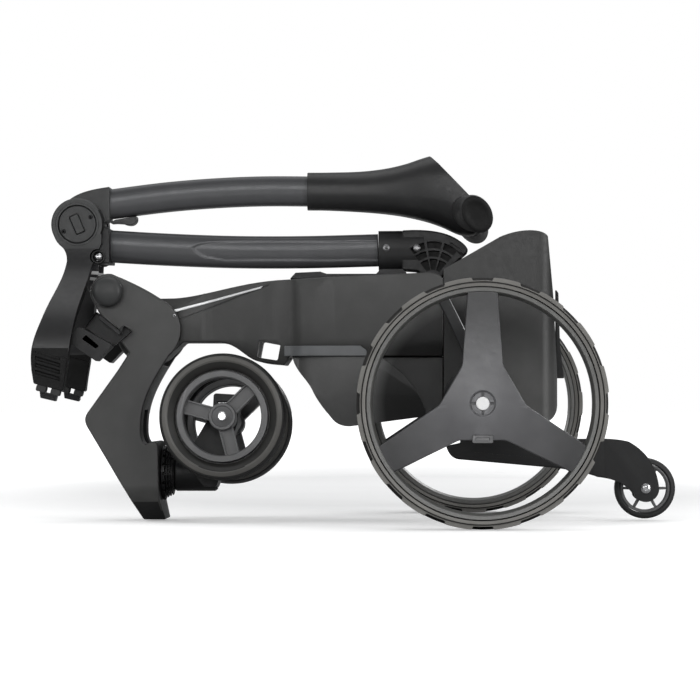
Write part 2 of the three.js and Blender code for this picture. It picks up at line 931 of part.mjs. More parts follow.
function bagArm(side) {
  const fromFront = bar(bagArmFront(side), -600, -420);
  const fromSide = slab(bagArmSide(), -140, 140);
  const start = MID_EAR_OUTER_Y + GAP;
  const boss = sideDrum(MID_DISC_R, MID_JOINT, side, start, start + BOSS_DEPTH, 40);
  const pinHeadRoom = drum(PIN_HEAD_R + GAP + 0.2, MID_JOINT, -60, 60, 32);
  const lockPinRoom = drum(8, LOCK_PIN, -60, 60, 24);
  return cut(join(fromFront.intersect(fromSide), boss), pinHeadRoom, lockPinRoom);
}

// The soft pad and strap tab at the foot of a bag arm.
function cradle(side) {
  const shape = polygon([
    [-546, 172],
    [-514, 164],
    [-512, 158],
    [-517, 149],
    [-539, 154],
    [-544, 161],
  ]);
  const armFoot = polygon([
    [-560, 178.4],
    [-500, 162.6],
    [-500, 190],
    [-560, 190],
  ]);
  return cut(sideSlab(shape, side, 104, 127), sideSlab(armFoot, side, 90, 140));
}

// The elastic bag strap, a loop that hangs under the mid joint between the leg's two horns.
function bagStrap() {
  const section = polygon([
    [-6, -2],
    [6, -2],
    [6, 2],
    [-6, 2],
  ]);
  return swept(
    section,
    [
      [-485, -30, 324],
      [-486, -28, 308],
      [-488, -16, 296],
      [-488, 0, 293],
      [-488, 16, 296],
      [-486, 28, 308],
      [-485, 30, 324],
    ],
    14,
  );
}

// ---- upper shaft ----
const UPPER_TUBE_LINE = [
  [-474, 0, 400.5],
  [-400, 0, 410],
  [-335, 0, 415.4],
  [-270, 0, 417.9],
  [-198, 0, 417.4],
];
const UPPER_TUBE_HALF_HEIGHT = 19;

const upperTube = () =>
  swept(ovalSection(16, UPPER_TUBE_HALF_HEIGHT), UPPER_TUBE_LINE, 8);

function midJointUpper() {
  const { x, z } = MID_JOINT;
  const shape = new THREE.Shape();
  shape.moveTo(-466, 380.5);
  shape.lineTo(-466, 423);
  shape.bezierCurveTo(-488, 420, -512, 416, -524, 400);
  shape.absarc(x, z, MID_DISC_R - 2, 2.2, 2 * Math.PI + 0.1, false);
  const half = MID_EAR_INNER_Y - GAP;
  const tubeRoom = swept(
    ovalSection(16 + GAP, UPPER_TUBE_HALF_HEIGHT + GAP),
    [
      [-475, 0, 400.4],
      [-440, 0, 405],
      [-405, 0, 409.5],
    ],
    4,
  );
  return cut(slab(shape, -half, half, 8), tubeRoom, drum(9 + GAP, MID_JOINT, -60, 60, 20));
}

function headSide() {
  const shape = new THREE.Shape();
  shape.moveTo(-216, 394);
  shape.lineTo(-216, 441.5);
  shape.bezierCurveTo(-150, 442, -108, 446, -67, 459.5);
  shape.lineTo(-56, 456);
  shape.lineTo(-14, 412);
  shape.quadraticCurveTo(6, 396, 2, 380);
  shape.quadraticCurveTo(-6, 362, -24, 359);
  shape.bezierCurveTo(-60, 382, -120, 388, -216, 393.5);
  return shape;
}

function headPlan() {
  const half = new THREE.SplineCurve(
    [
      [-230, 20],
      [-180, 22],
      [-120, 31],
      [-70, 44],
      [-20, 50],
      [20, 50],
    ].map((p) => new THREE.Vector2(...p)),
  );
  const far = half.getPoints(9).map((p) => [p.x, p.y]);
  return polygon([...far, ...far.map(([x, w]) => [x, -w]).reverse()]);
}

const CONSOLE_NORMAL = new THREE.Vector3(44, 0, 42).normalize();
const CONSOLE_CENTRE = new THREE.Vector3(-35, 0, 434);

// A box whose Z side lies along the console's normal, centred on the console.
function onConsole(length, width, low, high) {
  const geometry = new THREE.BoxGeometry(length, width, high - low);
  geometry.translate(0, 0, (low + high) / 2);
  return orientToConsole(geometry);
}

function orientToConsole(geometry, alongSlope = 0) {
  geometry.translate(alongSlope, 0, 0);
  const down = new THREE.Vector3(42, 0, -44).normalize();
  const across = CONSOLE_NORMAL.clone().cross(down);
  geometry.applyMatrix4(new THREE.Matrix4().makeBasis(down, across, CONSOLE_NORMAL));
  geometry.translate(...CONSOLE_CENTRE.toArray());
  return solidOf(geometry);
}

const DIAL_R = 15;
const DIAL_OFFSET = 9; // how far the dial sits down the console's slope from its centre

function consoleDisc(radius, low, high, segments) {
  const geometry = new THREE.CylinderGeometry(radius, radius, high - low, segments);
  geometry.rotateX(Math.PI / 2);
  geometry.translate(0, 0, (low + high) / 2);
  return orientToConsole(geometry, DIAL_OFFSET);
}

function handleHead() {
  const head = slab(headSide(), -60, 60, 7).intersect(column(headPlan(), 330, 480));
  const tubeRoom = swept(
    ovalSection(16 + GAP, UPPER_TUBE_HALF_HEIGHT + GAP),
    [
      [-260, 0, 417.9],
      [-228, 0, 417.9],
      [-197, 0, 417.5],
    ],
    4,
  );
  const recess = onConsole(52, 78, -4, 30);
  const gripRoom = ["near", "far"].map((side) => gripBody(side, GAP));
  return cut(head, tubeRoom, recess, ...gripRoom);
}

// The glossy panel let into the head, with a round opening for the dial.
function consolePanel() {
  const panel = onConsole(52 - 2 * GAP, 78 - 2 * GAP, -4 + GAP, 1.4);
  return cut(panel, consoleDisc(DIAL_R + GAP, -20, 20, 28));
}

function speedDial() {
  const dialRing = consoleDisc(DIAL_R, -3, 2, 28);
  return cut(dialRing, consoleDisc(8 + GAP, -10, 10, 20));
}

const powerButton = () => consoleDisc(8, -1.5, 2.4, 20);

// A stubby rubber hand grip: an oval bar that leaves the head's side, swept back and a little down.
const GRIP = { x: -14, z: 386, innerY: 44, length: 84, halfWidth: 19, halfHeight: 25 };

function gripBody(side, extra = 0) {
  const s = SIDES[side];
  const geometry = new THREE.CylinderGeometry(1, 0.9, 1, 28);
  geometry.scale(GRIP.halfWidth + extra, s * GRIP.length, GRIP.halfHeight + extra);
  geometry.translate(0, (s * GRIP.length) / 2, 0);
  geometry.rotateY(-0.55);
  geometry.rotateX(s * -0.067);
  geometry.rotateZ(s * -0.134);
  geometry.translate(GRIP.x, s * (GRIP.innerY - extra), GRIP.z);
  return solidOf(geometry);
}

// The thumb lever under the upper shaft. It swings down about its tail end.
function latchLever() {
  const shape = new THREE.Shape();
  shape.moveTo(-460, 381.6);
  shape.lineTo(-447, 383.8);
  shape.lineTo(-433, 386);
  shape.quadraticCurveTo(-431, 378, -438, 375);
  shape.quadraticCurveTo(-444, 373.5, -450, 376.5);
  shape.lineTo(-459, 377.5);
  return slab(shape, -11, 11);
}

// ---- front leg ----
const KNOB = { x: -464, z: 288 };

// The side view of the leg: pivot boss, horn with the knob, and the long kneed shin.
function legSide() {
  const { x, z } = LEG_PIVOT;
  const shape = new THREE.Shape();
  shape.moveTo(-421, 2);
  shape.lineTo(-489, 116);
  shape.quadraticCurveTo(-497, 128, -490, 137);
  shape.lineTo(-452, 190);
  shape.lineTo(-438, 212);
  shape.lineTo(-476, 262);
  shape.absarc(KNOB.x, KNOB.z, 23, -2.6, -4.9, true);
  shape.bezierCurveTo(-440, 302, -424, 294, -408, 283.5);
  shape.absarc(x, z, 42, 1.25, -0.87, true);
  shape.bezierCurveTo(-414, 168, -424, 145, -423, 114);
  shape.quadraticCurveTo(-423, 102, -417, 97);
  shape.quadraticCurveTo(-402, 106, -401, 93);
  shape.lineTo(-400, 27);
  shape.lineTo(-393, 2);
  return shape;
}

// The leg is two cheeks joined below the pivot. The neck swings between them.
function frontLeg() {
  const web = chop(slab(legSide(), -CHEEK_INNER_Y, CHEEK_INNER_Y, 7), [-450, 0, 196], [-0.35, 0, 1]);
  const cheeks = ["near", "far"].map((side) =>
    sideSlab(legSide(), side, CHEEK_INNER_Y - 0.01, CHEEK_OUTER_Y, 7),
  );
  const neckRoom = drum(45, LEG_PIVOT, -CHEEK_INNER_Y, CHEEK_INNER_Y, 32);
  const sweepRoom = slab(
    polygon([
      [-470, 330],
      [-462, 240],
      [-415, 196],
      [-360, 196],
      [-340, 330],
    ]),
    -CHEEK_INNER_Y,
    CHEEK_INNER_Y,
  );
  const hollow = slab(
    polygon([
      [-474, 126],
      [-446, 166],
      [-434, 160],
      [-432, 104],
      [-427, 60],
    ]),
    -34,
    34,
  );
  const stemBore = rod(12 + GAP, SWIVEL_Z, -424, -380);
  const opening = box([-436, -20, 90], [-415, 20, 140]);
  return cut(join(web, ...cheeks), neckRoom, sweepRoom, hollow, legPinBore(), stemBore, opening);
}

const legPin = () => drum(9, LEG_PIVOT, -CHEEK_OUTER_Y + 1, CHEEK_OUTER_Y - 1);

function legKnob(side) {
  const s = SIDES[side];
  const base = CHEEK_OUTER_Y + GAP;
  return turned(
    [
      [0, s * base],
      [17, s * base],
      [19, s * (base + 3)],
      [19, s * (base + 14)],
      [14, s * (base + 19)],
      [0, s * (base + 21)],
    ],
    KNOB,
  );
}

// The lower bag support on one side: a plate on the cheek and the slotted tray it carries.
function lowerBagSupport(side) {
  const plate = polygon([
    [-478, 263],
    [-492, 243],
    [-459, 220],
    [-452, 222],
    [-433, 239],
    [-444, 246],
    [-449, 240],
  ]);
  const tray = polygon([
    [-512, 226],
    [-495, 243],
    [-454, 220.5],
    [-474, 200],
  ]);
  const slot = polygon([
    [-487, 233],
    [-492, 228],
    [-475, 216],
    [-471, 219.5],
  ]);
  const inner = CHEEK_OUTER_Y + GAP;
  return cut(
    join(sideSlab(plate, side, inner, 66), sideSlab(tray, side, 62, 96)),
    sideSlab(slot, side, 50, 100),
  );
}

// ---- castor ----
const FORK_FRONT_X = -384;

// The ribbed collar around the swivel, on the leg's side of the joint.
function noseCollar() {
  const low = -400 + GAP;
  const plate = rod(31, SWIVEL_Z, low, low + 5);
  const ribs = [0, 1].map((i) => rod(29 - 2 * i, SWIVEL_Z, low + 7 + i * 4, low + 9 + i * 4));
  const core = rod(24, SWIVEL_Z, low, FORK_FRONT_X - GAP);
  return cut(join(plate, core, ...ribs), rod(12 + GAP, SWIVEL_Z, -430, -370));
}

// Stem, swivel hub and the single arm between the two front wheels.
function castorFork() {
  const stem = rod(12, SWIVEL_Z, -420, -370);
  const hub = rod(23, SWIVEL_Z, FORK_FRONT_X, -330, 28);
  const arm = new THREE.Shape();
  arm.moveTo(-372, 74);
  arm.lineTo(-346, 42);
  arm.lineTo(-330, 42);
  arm.lineTo(-304, 122);
  arm.lineTo(-301, 158);
  arm.lineTo(-334, 160);
  arm.lineTo(-335, 138);
  const plate = slab(arm, -24, 24);
  const boss = drum(14, CASTOR_AXLE, -60, 60);
  return cut(
    join(stem, hub, plate, boss),
    drum(6 + GAP, CASTOR_AXLE, -80, 80, 16),
    box([-330, -25, 141], [-306, -19, 150]),
  );
}

const castorAxle = () => drum(6, CASTOR_AXLE, -106, 106, 16);

// The small lever on the arm's near face that locks the swivel.
function swivelLock() {
  return box([-328, -28, 142.5], [-308, -20, 148.5]);
}

// ---- assembly ----
place("main_shell", mainShell(), "shell");
place("lower_tub", lowerTub(), "shell");
place("rear_housing", rearHousing(), "shell");
place("rear_spine", rearSpine(), "black_plastic");
place("battery", battery(), "black_plastic");
place("battery_handle", batteryHandle(), "black_plastic");
place("axle_housing", axleHousing(), "black_plastic");
place("antitip_arm", antitipArm(), "black_plastic");
place("antitip_bolt", drum(4, ANTITIP_AXLE, -24, 24, 20), "steel");
place("main_hinge_pin", drum(5, MAIN_HINGE, -58, 58, 24), "steel");
place("leg_pivot_pin", legPin(), "steel");
place("antitip_rim", antitipRim(), "wheel_light");
place("antitip_tyre", antitipTyre(), "rubber");

place("lower_tube", lowerTube(), "tube");
place("hinge_socket", hingeSocket(), "black_plastic");
place("mid_joint_lower", midJointLower(), "black_plastic");
place("mid_joint_pin", midJointPin(), "black_plastic");
place("frame_lock_pin", lockPin(), "steel");
place("bag_strap", bagStrap(), "strap");

place("upper_tube", upperTube(), "tube");
place("mid_joint_upper", midJointUpper(), "black_plastic");
place("handle_head", handleHead(), "black_plastic");
place("console", consolePanel(), "screen");
place("speed_dial", speedDial(), "rubber");
place("power_button", powerButton(), "bright_trim");
place("latch_lever", latchLever(), "black_plastic");

place("front_leg", frontLeg(), "shell");
place("nose_collar", noseCollar(), "black_plastic");

// The castor turns about a line along X through the swivel, so its rest lean is about that line.
const castor = new THREE.Group();
const castorPieces = new THREE.Group();
castor.position.set(0, 0, SWIVEL_Z);
castor.rotation.x = CASTOR_TILT;
castorPieces.position.set(0, 0, -SWIVEL_Z);
castor.add(castorPieces);
trolley.add(castor);
place("castor_fork", castorFork(), "black_plastic", castorPieces);
place("castor_axle", castorAxle(), "steel", castorPieces);
place("swivel_lock", swivelLock(), "bright_trim", castorPieces);

for (const side of ["near", "far"]) {
  place("neck_trim_" + side, neckTrim(side), "bright_trim");
  place("side_rail_" + side, sideRail(side), "shell_light");
  place("drive_unit_" + side, driveUnit(side), "black_plastic");
  place("drive_strut_" + side, driveStrut(side), "black_plastic");
  place("rear_tyre_" + side, rearTyre(side), "tyre");
  place("rear_rim_" + side, rearRim(side), "wheel");
  place("release_button_" + side, releaseButton(side), "wheel");
  place("bag_arm_" + side, bagArm(side), "black_plastic");
  place("arm_cradle_" + side, cradle(side), "rubber");
  place("grip_" + side, gripBody(side), "rubber");
  place("leg_knob_" + side, legKnob(side), "black_plastic");
  place("lower_bag_support_" + side, lowerBagSupport(side), "black_plastic");
  place("front_tyre_" + side, frontTyre(side), "tyre", castorPieces);
  place("front_rim_" + side, frontRim(side), "wheel_light", castorPieces);
}

trolley.position.x = AXLE_TO_MIDDLE;

export default trolley;
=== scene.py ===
import json
import math

import bmesh
import bpy
from mathutils import Matrix, Vector

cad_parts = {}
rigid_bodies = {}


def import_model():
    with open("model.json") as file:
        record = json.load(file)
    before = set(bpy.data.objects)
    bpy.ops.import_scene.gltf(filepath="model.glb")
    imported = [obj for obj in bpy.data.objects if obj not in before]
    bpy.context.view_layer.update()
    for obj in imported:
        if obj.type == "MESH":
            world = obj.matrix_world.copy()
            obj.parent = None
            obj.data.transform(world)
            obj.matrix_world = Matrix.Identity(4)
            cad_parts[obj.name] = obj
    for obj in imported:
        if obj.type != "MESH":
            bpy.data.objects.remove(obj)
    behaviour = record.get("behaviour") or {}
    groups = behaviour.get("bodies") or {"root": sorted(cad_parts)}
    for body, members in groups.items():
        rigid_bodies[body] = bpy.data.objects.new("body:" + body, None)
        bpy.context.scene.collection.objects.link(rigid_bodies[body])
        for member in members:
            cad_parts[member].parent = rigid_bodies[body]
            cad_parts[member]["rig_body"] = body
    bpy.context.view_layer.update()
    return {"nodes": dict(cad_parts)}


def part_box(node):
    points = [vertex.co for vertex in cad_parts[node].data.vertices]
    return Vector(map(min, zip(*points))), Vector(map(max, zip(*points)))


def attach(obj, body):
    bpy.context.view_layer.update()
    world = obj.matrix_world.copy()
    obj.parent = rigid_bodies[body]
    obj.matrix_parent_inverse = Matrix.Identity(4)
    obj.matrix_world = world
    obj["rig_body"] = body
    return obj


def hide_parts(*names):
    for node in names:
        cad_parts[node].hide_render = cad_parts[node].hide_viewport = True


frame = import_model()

MM = 0.001
SIDES = {"near": -1, "far": 1}
BODY_OF = {name: node["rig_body"] for name, node in frame["nodes"].items()}
AXLE_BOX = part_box("axle_housing")
TO_FRAME = Vector(((AXLE_BOX[0][0] + AXLE_BOX[1][0]) / 2, 0, 0))
AXLE = (0, 148)
MAIN_HINGE = (-57, 304)
MID_JOINT = (-505, 374)
LEG_PIVOT = (-415, 240)
CASTOR_AXLE = (-318, 127)
ANTITIP_AXLE = (211, 41)
LOCK_PIN = (-479, 333)
KNOB = (-464, 288)
CASTOR_LEAN = Matrix.Translation((0, 0, 60 * MM)) @ Matrix.Rotation(math.radians(-3), 4, "X")
CASTOR_LEAN = CASTOR_LEAN @ Matrix.Translation((0, 0, -60 * MM))


# ---------------------------------------------------------------- outlines
def bezier(points, t):
    while len(points) > 1:
        points = [tuple(a + (b - a) * t for a, b in zip(p, q)) for p, q in zip(points, points[1:])]
    return points[0]


def outline(spec):
    """Points of an outline: M x y, L x y, Q and C curves, A centre radius and two angles in degrees."""
    sizes = {"M": 2, "L": 2, "Q": 4, "C": 6, "A": 5}
    tokens, points, at = spec.split(), [], 0
    while at < len(tokens):
        kind = tokens[at]
        v = [float(t) for t in tokens[at + 1 : at + 1 + sizes[kind]]]
        at += 1 + sizes[kind]
        if kind in "ML":
            points.append((v[0], v[1]))
        elif kind == "A":
            count = max(4, int(abs(v[4] - v[3]) / 5))
            for i in range(count + 1):
                t = math.radians(v[3] + (v[4] - v[3]) * i / count)
                points.append((v[0] + v[2] * math.cos(t), v[1] + v[2] * math.sin(t)))
        else:
            control = [points[-1]] + list(zip(v[::2], v[1::2]))
            points += [bezier(control, i / 14) for i in range(1, 15)]
    return [p for i, p in enumerate(points) if math.dist(p, points[i - 1]) > 0.05]


def rounded(points, radius, steps=5):
    """The outline with its corners rounded to one radius, or to a radius for each corner."""
    result = []
    for i, c in enumerate(points):
        corner = Vector(c)
        back = Vector(points[i - 1]) - corner
        ahead = Vector(points[(i + 1) % len(points)]) - corner
        r = radius[i] if isinstance(radius, (list, tuple)) else radius
        if r <= 0:
            result.append(c)
            continue
        reach = r / math.tan(back.angle(ahead) / 2)
        a = corner + back.normalized() * min(reach, 0.48 * back.length)
        b = corner + ahead.normalized() * min(reach, 0.48 * ahead.length)
        result += [bezier([tuple(a), c, tuple(b)], k / steps) for k in range(steps + 1)]
    return result


def spline(points, per_span=12):
    """A Catmull-Rom line through the points."""
    line = []
    last = len(points) - 1
    for i in range(last):
        quad = [points[max(i - 1, 0)], points[i], points[i + 1], points[min(i + 2, last)]]
        for k in range(per_span):
            t = k / per_span
            w = (
                -0.5 * t**3 + t**2 - 0.5 * t,
                1.5 * t**3 - 2.5 * t**2 + 1,
                -1.5 * t**3 + 2 * t**2 + 0.5 * t,
                0.5 * t**3 - 0.5 * t**2,
            )
            line.append(tuple(sum(a * p[j] for a, p in zip(w, quad)) for j in range(len(points[0]))))
    return line + [tuple(points[-1])]


def circle(x, y, r, count=48):
    return [
        (x + r * math.cos(2 * math.pi * i / count), y + r * math.sin(2 * math.pi * i / count))
        for i in range(count)
    ]


def rectangle(x0, y0, x1, y1):
    return [(x0, y0), (x1, y0), (x1, y1), (x0, y1)]


def turned_outline(points, x, y, angle):
    c, s = math.cos(angle), math.sin(angle)
    return [(x + a * c - b * s, y + a * s + b * c) for a, b in points]


def mirrored(half):
    """A profile that ends on the middle plane, continued on the other side of it."""
    return half + [(a, -b) for a, b in reversed(half[:-1])]


def on_side(profile, side):
    """A profile of (radius, distance from the middle plane), on one side of that plane."""
    return [(r, SIDES[side] * y) for r, y in profile]


# ---------------------------------------------------------------- solids
def solid(verts, faces):
    """A closed mesh object from points in millimetres."""
    mesh = bpy.data.meshes.new("solid")
    mesh.from_pydata([(x * MM, y * MM, z * MM) for x, y, z in verts], [], faces)
    bm = bmesh.new()
    bm.from_mesh(mesh)
    bmesh.ops.recalc_face_normals(bm, faces=bm.faces)
    bm.to_mesh(mesh)
    bm.free()
    obj = bpy.data.objects.new("solid", mesh)
    bpy.context.scene.collection.objects.link(obj)
    return obj


def prism(points, low, high, axis="Y", shrink=1.0):
    """An outline given thickness along an axis: XZ along Y, XY along Z or YZ along X."""
    put = {
        "Y": lambda a, b, d, k: (a, d, b),
        "Z": lambda a, b, d, k: (a, b * k, d),
        "X": lambda a, b, d, k: (d, a, b),
    }[axis]
    n = len(points)
    verts = [put(a, b, low, shrink) for a, b in points] + [put(a, b, high, 1) for a, b in points]
    faces = [tuple(range(n)), tuple(range(2 * n - 1, n - 1, -1))]
    faces += [(i, (i + 1) % n, (i + 1) % n + n, i + n) for i in range(n)]
    return solid(verts, faces)


def side_prism(points, side, inner, outer):
    s = SIDES[side]
    return prism(points, *sorted((s * inner, s * outer)))


def block(low, high):
    return prism(rectangle(low[0], low[1], high[0], high[1]), low[2], high[2], "Z")


def lathe(profile, centre, count=96, closed=False, axis="Y"):
    """A turned solid about an axis. The profile lists (radius, place along the axis)."""
    verts, faces, rings = [], [], []
    for r, d in profile:
        if r < 1e-6:
            rings.append([len(verts)])
            verts.append((0, 0, d))
            continue
        rings.append(list(range(len(verts), len(verts) + count)))
        verts += [(*p, d) for p in circle(0, 0, r, count)]
    pairs = list(zip(rings, rings[1:])) + ([(rings[-1], rings[0])] if closed else [])
    for a, b in pairs:
        for i in range(count):
            j = (i + 1) % count
            corner = [a[i % len(a)], a[j % len(a)], b[j % len(b)], b[i % len(b)]]
            face = list(dict.fromkeys(corner))
            if len(face) > 2:
                faces.append(tuple(face))
    if axis == "Y":
        verts = [(x + centre[0], d, z + centre[1]) for x, z, d in verts]
    else:
        verts = [(d, y + centre[0], z + centre[1]) for y, z, d in verts]
    return solid(verts, faces)


def drum(r, centre, low, high, count=64):
    return lathe([(0, low), (r, low), (r, high), (0, high)], centre, count)


def rod(r, z, low, high, count=64):
    return lathe([(0, low), (r, low), (r, high), (0, high)], (0, z), count, axis="X")


def ring(section, centre, count=128):
    return lathe(section, centre, count, closed=True)


def skin(rows, closed=False):
    """A solid over equal rows of points: capped at both ends, or closed into a ring."""
    n, count = len(rows[0]), len(rows)
    faces = []
    for i in range(count if closed else count - 1):
        ahead = (i + 1) % count
        for j in range(n):
            k = (j + 1) % n
            faces.append((i * n + j, i * n + k, ahead * n + k, ahead * n + j))
    if not closed:
        faces += [tuple(range(n)), tuple(range((count - 1) * n, count * n))]
    return solid([p for row in rows for p in row], faces)


def sweep(section, line, across=(0, 1, 0)):
    """A section of (across, up) points carried along a line of points."""
    rows = []
    points = [Vector(p) for p in line]
    last = len(points) - 1
    for i, p in enumerate(points):
        tangent = (points[min(i + 1, last)] - points[max(i - 1, 0)]).normalized()
        side = Vector(across)
        side = (side - tangent * side.dot(tangent)).normalized()
        up = tangent.cross(side)
        if up.z < 0 and abs(side.z) < 0.5:
            up.negate()
        rows.append([tuple(p + side * a + up * b) for a, b in section])
    return skin(rows)


def apply_modifiers(obj):
    graph = bpy.context.evaluated_depsgraph_get()
    made = bpy.data.meshes.new_from_object(obj.evaluated_get(graph))
    obj.modifiers.clear()
    old, obj.data = obj.data, made
    bpy.data.meshes.remove(old)
    return obj


def boolean(target, operation, tools):
    for tool in tools:
        modifier = target.modifiers.new("boolean", "BOOLEAN")
        modifier.operation = operation
        modifier.object = tool
        modifier.solver = "MANIFOLD"
    apply_modifiers(target)
    for tool in tools:
        bpy.data.objects.remove(tool)
    return target


def cut(target, *tools):
    return boolean(target, "DIFFERENCE", tools)


def join(target, *tools):
    return boolean(target, "UNION", tools)


def meet(target, *tools):
    return boolean(target, "INTERSECT", tools)


def chop(target, point, normal, both_sides=False):
    """Cuts away what lies on the side of a plane that its normal points to."""
    tools = []
    for flip in (1, -1) if both_sides else (1,):
        aim = Vector((normal[0], normal[1] * flip, normal[2])).to_track_quat("Z", "Y")
        tool = block((-900, -900, 0), (900, 900, 900))
        shift = Vector((point[0], point[1] * flip, point[2])) * MM
        tool.data.transform(Matrix.Translation(shift) @ aim.to_matrix().to_4x4())
        tools.append(tool)
    return cut(target, *tools)


def crossings(face):
    """Where the outline of a flat face runs across itself."""
    a, b = sorted(range(3), key=lambda i: abs(face.normal[i]))[:2]
    points = [v.co for v in face.verts]
    flat = [(p[a], p[b]) for p in points]

    def turn(p, q, r):
        return (q[0] - p[0]) * (r[1] - p[1]) - (q[1] - p[1]) * (r[0] - p[0])

    count = len(flat)
    found = []
    for i in range(count):
        p, q = flat[i], flat[(i + 1) % count]
        left, right = min(p[0], q[0]), max(p[0], q[0])
        for j in range(i + 2, count - (i == 0)):
            r, t = flat[j], flat[(j + 1) % count]
            if max(r[0], t[0]) < left or min(r[0], t[0]) > right:
                continue
            if turn(p, q, r) * turn(p, q, t) < 0 and turn(r, t, p) * turn(r, t, q) < 0:
                share = turn(r, t, p) / (turn(r, t, p) - turn(r, t, q))
                found.append(points[i].lerp(points[(i + 1) % count], share))
    return found or points


def tangles(mesh):
    """Places on a mesh where a face is folded over itself, and how much area that is in all."""
    bm = bmesh.new()
    bm.from_mesh(mesh)
    covered = {}
    for loops in bm.calc_loop_triangles():
        a, b, c = (loop.vert.co for loop in loops)
        face = loops[0].face
        covered[face] = covered.get(face, 0) + (b - a).cross(c - a).length / 2
    spots, total = [], 0.0
    for face, area in covered.items():
        if area > face.calc_area() * 1.01 + 0.3 * MM * MM:
            spots += crossings(face)
            total += area - face.calc_area()
    bm.free()
    return spots, total


def edge_gap(edge, spot):
    a, b = edge.verts[0].co, edge.verts[1].co
    along = b - a
    share = max(0.0, min(1.0, (spot - a).dot(along) / along.length_squared))
    return (a + along * share - spot).length


def soften(obj, width, angle=28, segments=3, where=None, merge=0.06):
    """Rounds the sharp edges of a solid, by less in tight places where faces would cross."""
    bm = bmesh.new()
    bm.from_mesh(obj.data)
    bmesh.ops.remove_doubles(bm, verts=bm.verts, dist=merge * MM)
    bmesh.ops.dissolve_limit(bm, angle_limit=math.radians(0.4), verts=bm.verts, edges=bm.edges)
    layer = bm.edges.layers.float.new("bevel_weight_edge")
    sharp = [
        e
        for e in bm.edges
        if len(e.link_faces) == 2
        and e.calc_face_angle() > math.radians(angle)
        and (where is None or where((e.verts[0].co + e.verts[1].co) / (2 * MM)))
    ]
    for edge in list(sharp):
        start = edge.verts[0]
        for i in range(int(edge.calc_length() / (8 * width * MM)), 0, -1):
            other, middle = bmesh.utils.edge_split(edge, start, 1 / (i + 1))
            sharp.append(other)
            edge = edge if start in other.verts else other
            start = middle
    best = None
    for share in (1, 0.75, 0.5, 0.3, 0.15):
        for edge in sharp:
            edge[layer] = 1.0
        for attempt in range(5):
            bm.to_mesh(obj.data)
            bevel = obj.modifiers.new("edges", "BEVEL")
            bevel.limit_method = "WEIGHT"
            bevel.offset_type = "OFFSET"
            bevel.width = width * share * MM
            bevel.segments = segments
            bevel.use_clamp_overlap = False
            graph = bpy.context.evaluated_depsgraph_get()
            result = bpy.data.meshes.new_from_object(obj.evaluated_get(graph))
            obj.modifiers.clear()
            spots, total = tangles(result)
            if best is None or total < best[0]:
                best = (total, result)
            if not spots:
                break
            for edge in sharp:
                if min(edge_gap(edge, spot) for spot in spots) < 2 * width * share * MM:
                    edge[layer] *= 0.5
        if not spots:
            break
    bm.free()
    obj.data = best[1]
    return obj


def combine(objects):
    """Several solids as one object, without joining their surfaces."""
    bm = bmesh.new()
    for o in objects:
        bm.from_mesh(o.data)
    target = objects[0]
    bm.to_mesh(target.data)
    bm.free()
    for o in objects[1:]:
        bpy.data.objects.remove(o)
    return target


# ---------------------------------------------------------------- materials
class Shader:
    """The nodes of a material or of the world, under construction."""

    def __init__(self, owner):
        owner.use_nodes = True
        self.owner = owner
        self.nodes = owner.node_tree.nodes
        self.links = owner.node_tree.links
        self.nodes.clear()

    def add(self, kind, inputs=None, **settings):
        node = self.nodes.new("ShaderNode" + kind)
        for key, value in settings.items():
            setattr(node, key, value)
        for key, value in (inputs or {}).items():
            if isinstance(value, tuple) and len(value) == 2 and hasattr(value[0], "outputs"):
                self.links.new(value[0].outputs[value[1]], node.inputs[key])
            else:
                node.inputs[key].default_value = value
        return node

    def span(self, source, low, high, at_low, at_high):
        """A value carried from one range to another, held at both ends."""
        return self.add(
            "MapRange",
            {"Value": source, "From Min": low, "From Max": high, "To Min": at_low, "To Max": at_high},
        )

    def ramp(self, source, stops):
        node = self.add("ValToRGB", {"Fac": source})
        node.color_ramp.elements[0].position = stops[0][0]
        node.color_ramp.elements[1].position = stops[1][0]
        for element, (_, value) in zip(node.color_ramp.elements, stops):
            element.color = (value, value, value, 1) if isinstance(value, (int, float)) else (*value, 1)
        return node

    def output(self, shader, kind="OutputMaterial"):
        out = self.add(kind)
        self.links.new(shader.outputs[0], out.inputs["Surface"])
        return self.owner


def from_axle(s, spot, tones, near=0.02, far=0.12):
    """A painted tone (painted light and shade) that runs from one value to another between two distances from
    the rear axle, in metres.
    """
    centre = (TO_FRAME.x + AXLE[0] * MM, 0, AXLE[1] * MM)
    flat = s.add("VectorMath", {0: spot, 1: (1, 0, 1)}, operation="MULTIPLY")
    away = s.add("VectorMath", {0: (flat, 0), 1: centre}, operation="DISTANCE")
    return s.span((away, "Value"), near, far, *tones)


def chassis_painted_light(s, spot):
    """Painted light and shade on the chassis: near black painted shade in the wheel arches ahead of the axle,
    painted shade over the rear housing, and a painted highlight low down at the tail.
    """
    split = s.add("SeparateXYZ", {"Vector": spot})
    axle_x = TO_FRAME.x
    arch_painted_shade = from_axle(s, spot, (0.10, 1.0), 0.116, 0.130)
    behind = s.span((split, "X"), axle_x - 0.005, axle_x + 0.03, 0.0, 1.0)
    keep = s.add("Math", {0: (arch_painted_shade, 0), 1: (behind, 0)}, operation="MAXIMUM")
    # painted shade: the rear housing is dimmed
    housing = s.span((split, "X"), axle_x - 0.0437, axle_x - 0.0435, 1.0, 0.62)
    # painted highlight low down at the tail
    low = s.span((split, "Z"), 0.25, 0.17, 0.0, 1.6)
    rear = s.span((split, "X"), axle_x + 0.01, axle_x + 0.06, 0.0, 1.0)
    tail_painted_highlight = s.add("Math", {0: (low, 0), 1: (rear, 0), 2: 1.0}, operation="MULTIPLY_ADD")
    dim = s.add("Math", {0: (keep, 0), 1: (housing, 0)}, operation="MULTIPLY")
    return s.add("Math", {0: (dim, 0), 1: (tail_painted_highlight, 0)}, operation="MULTIPLY")


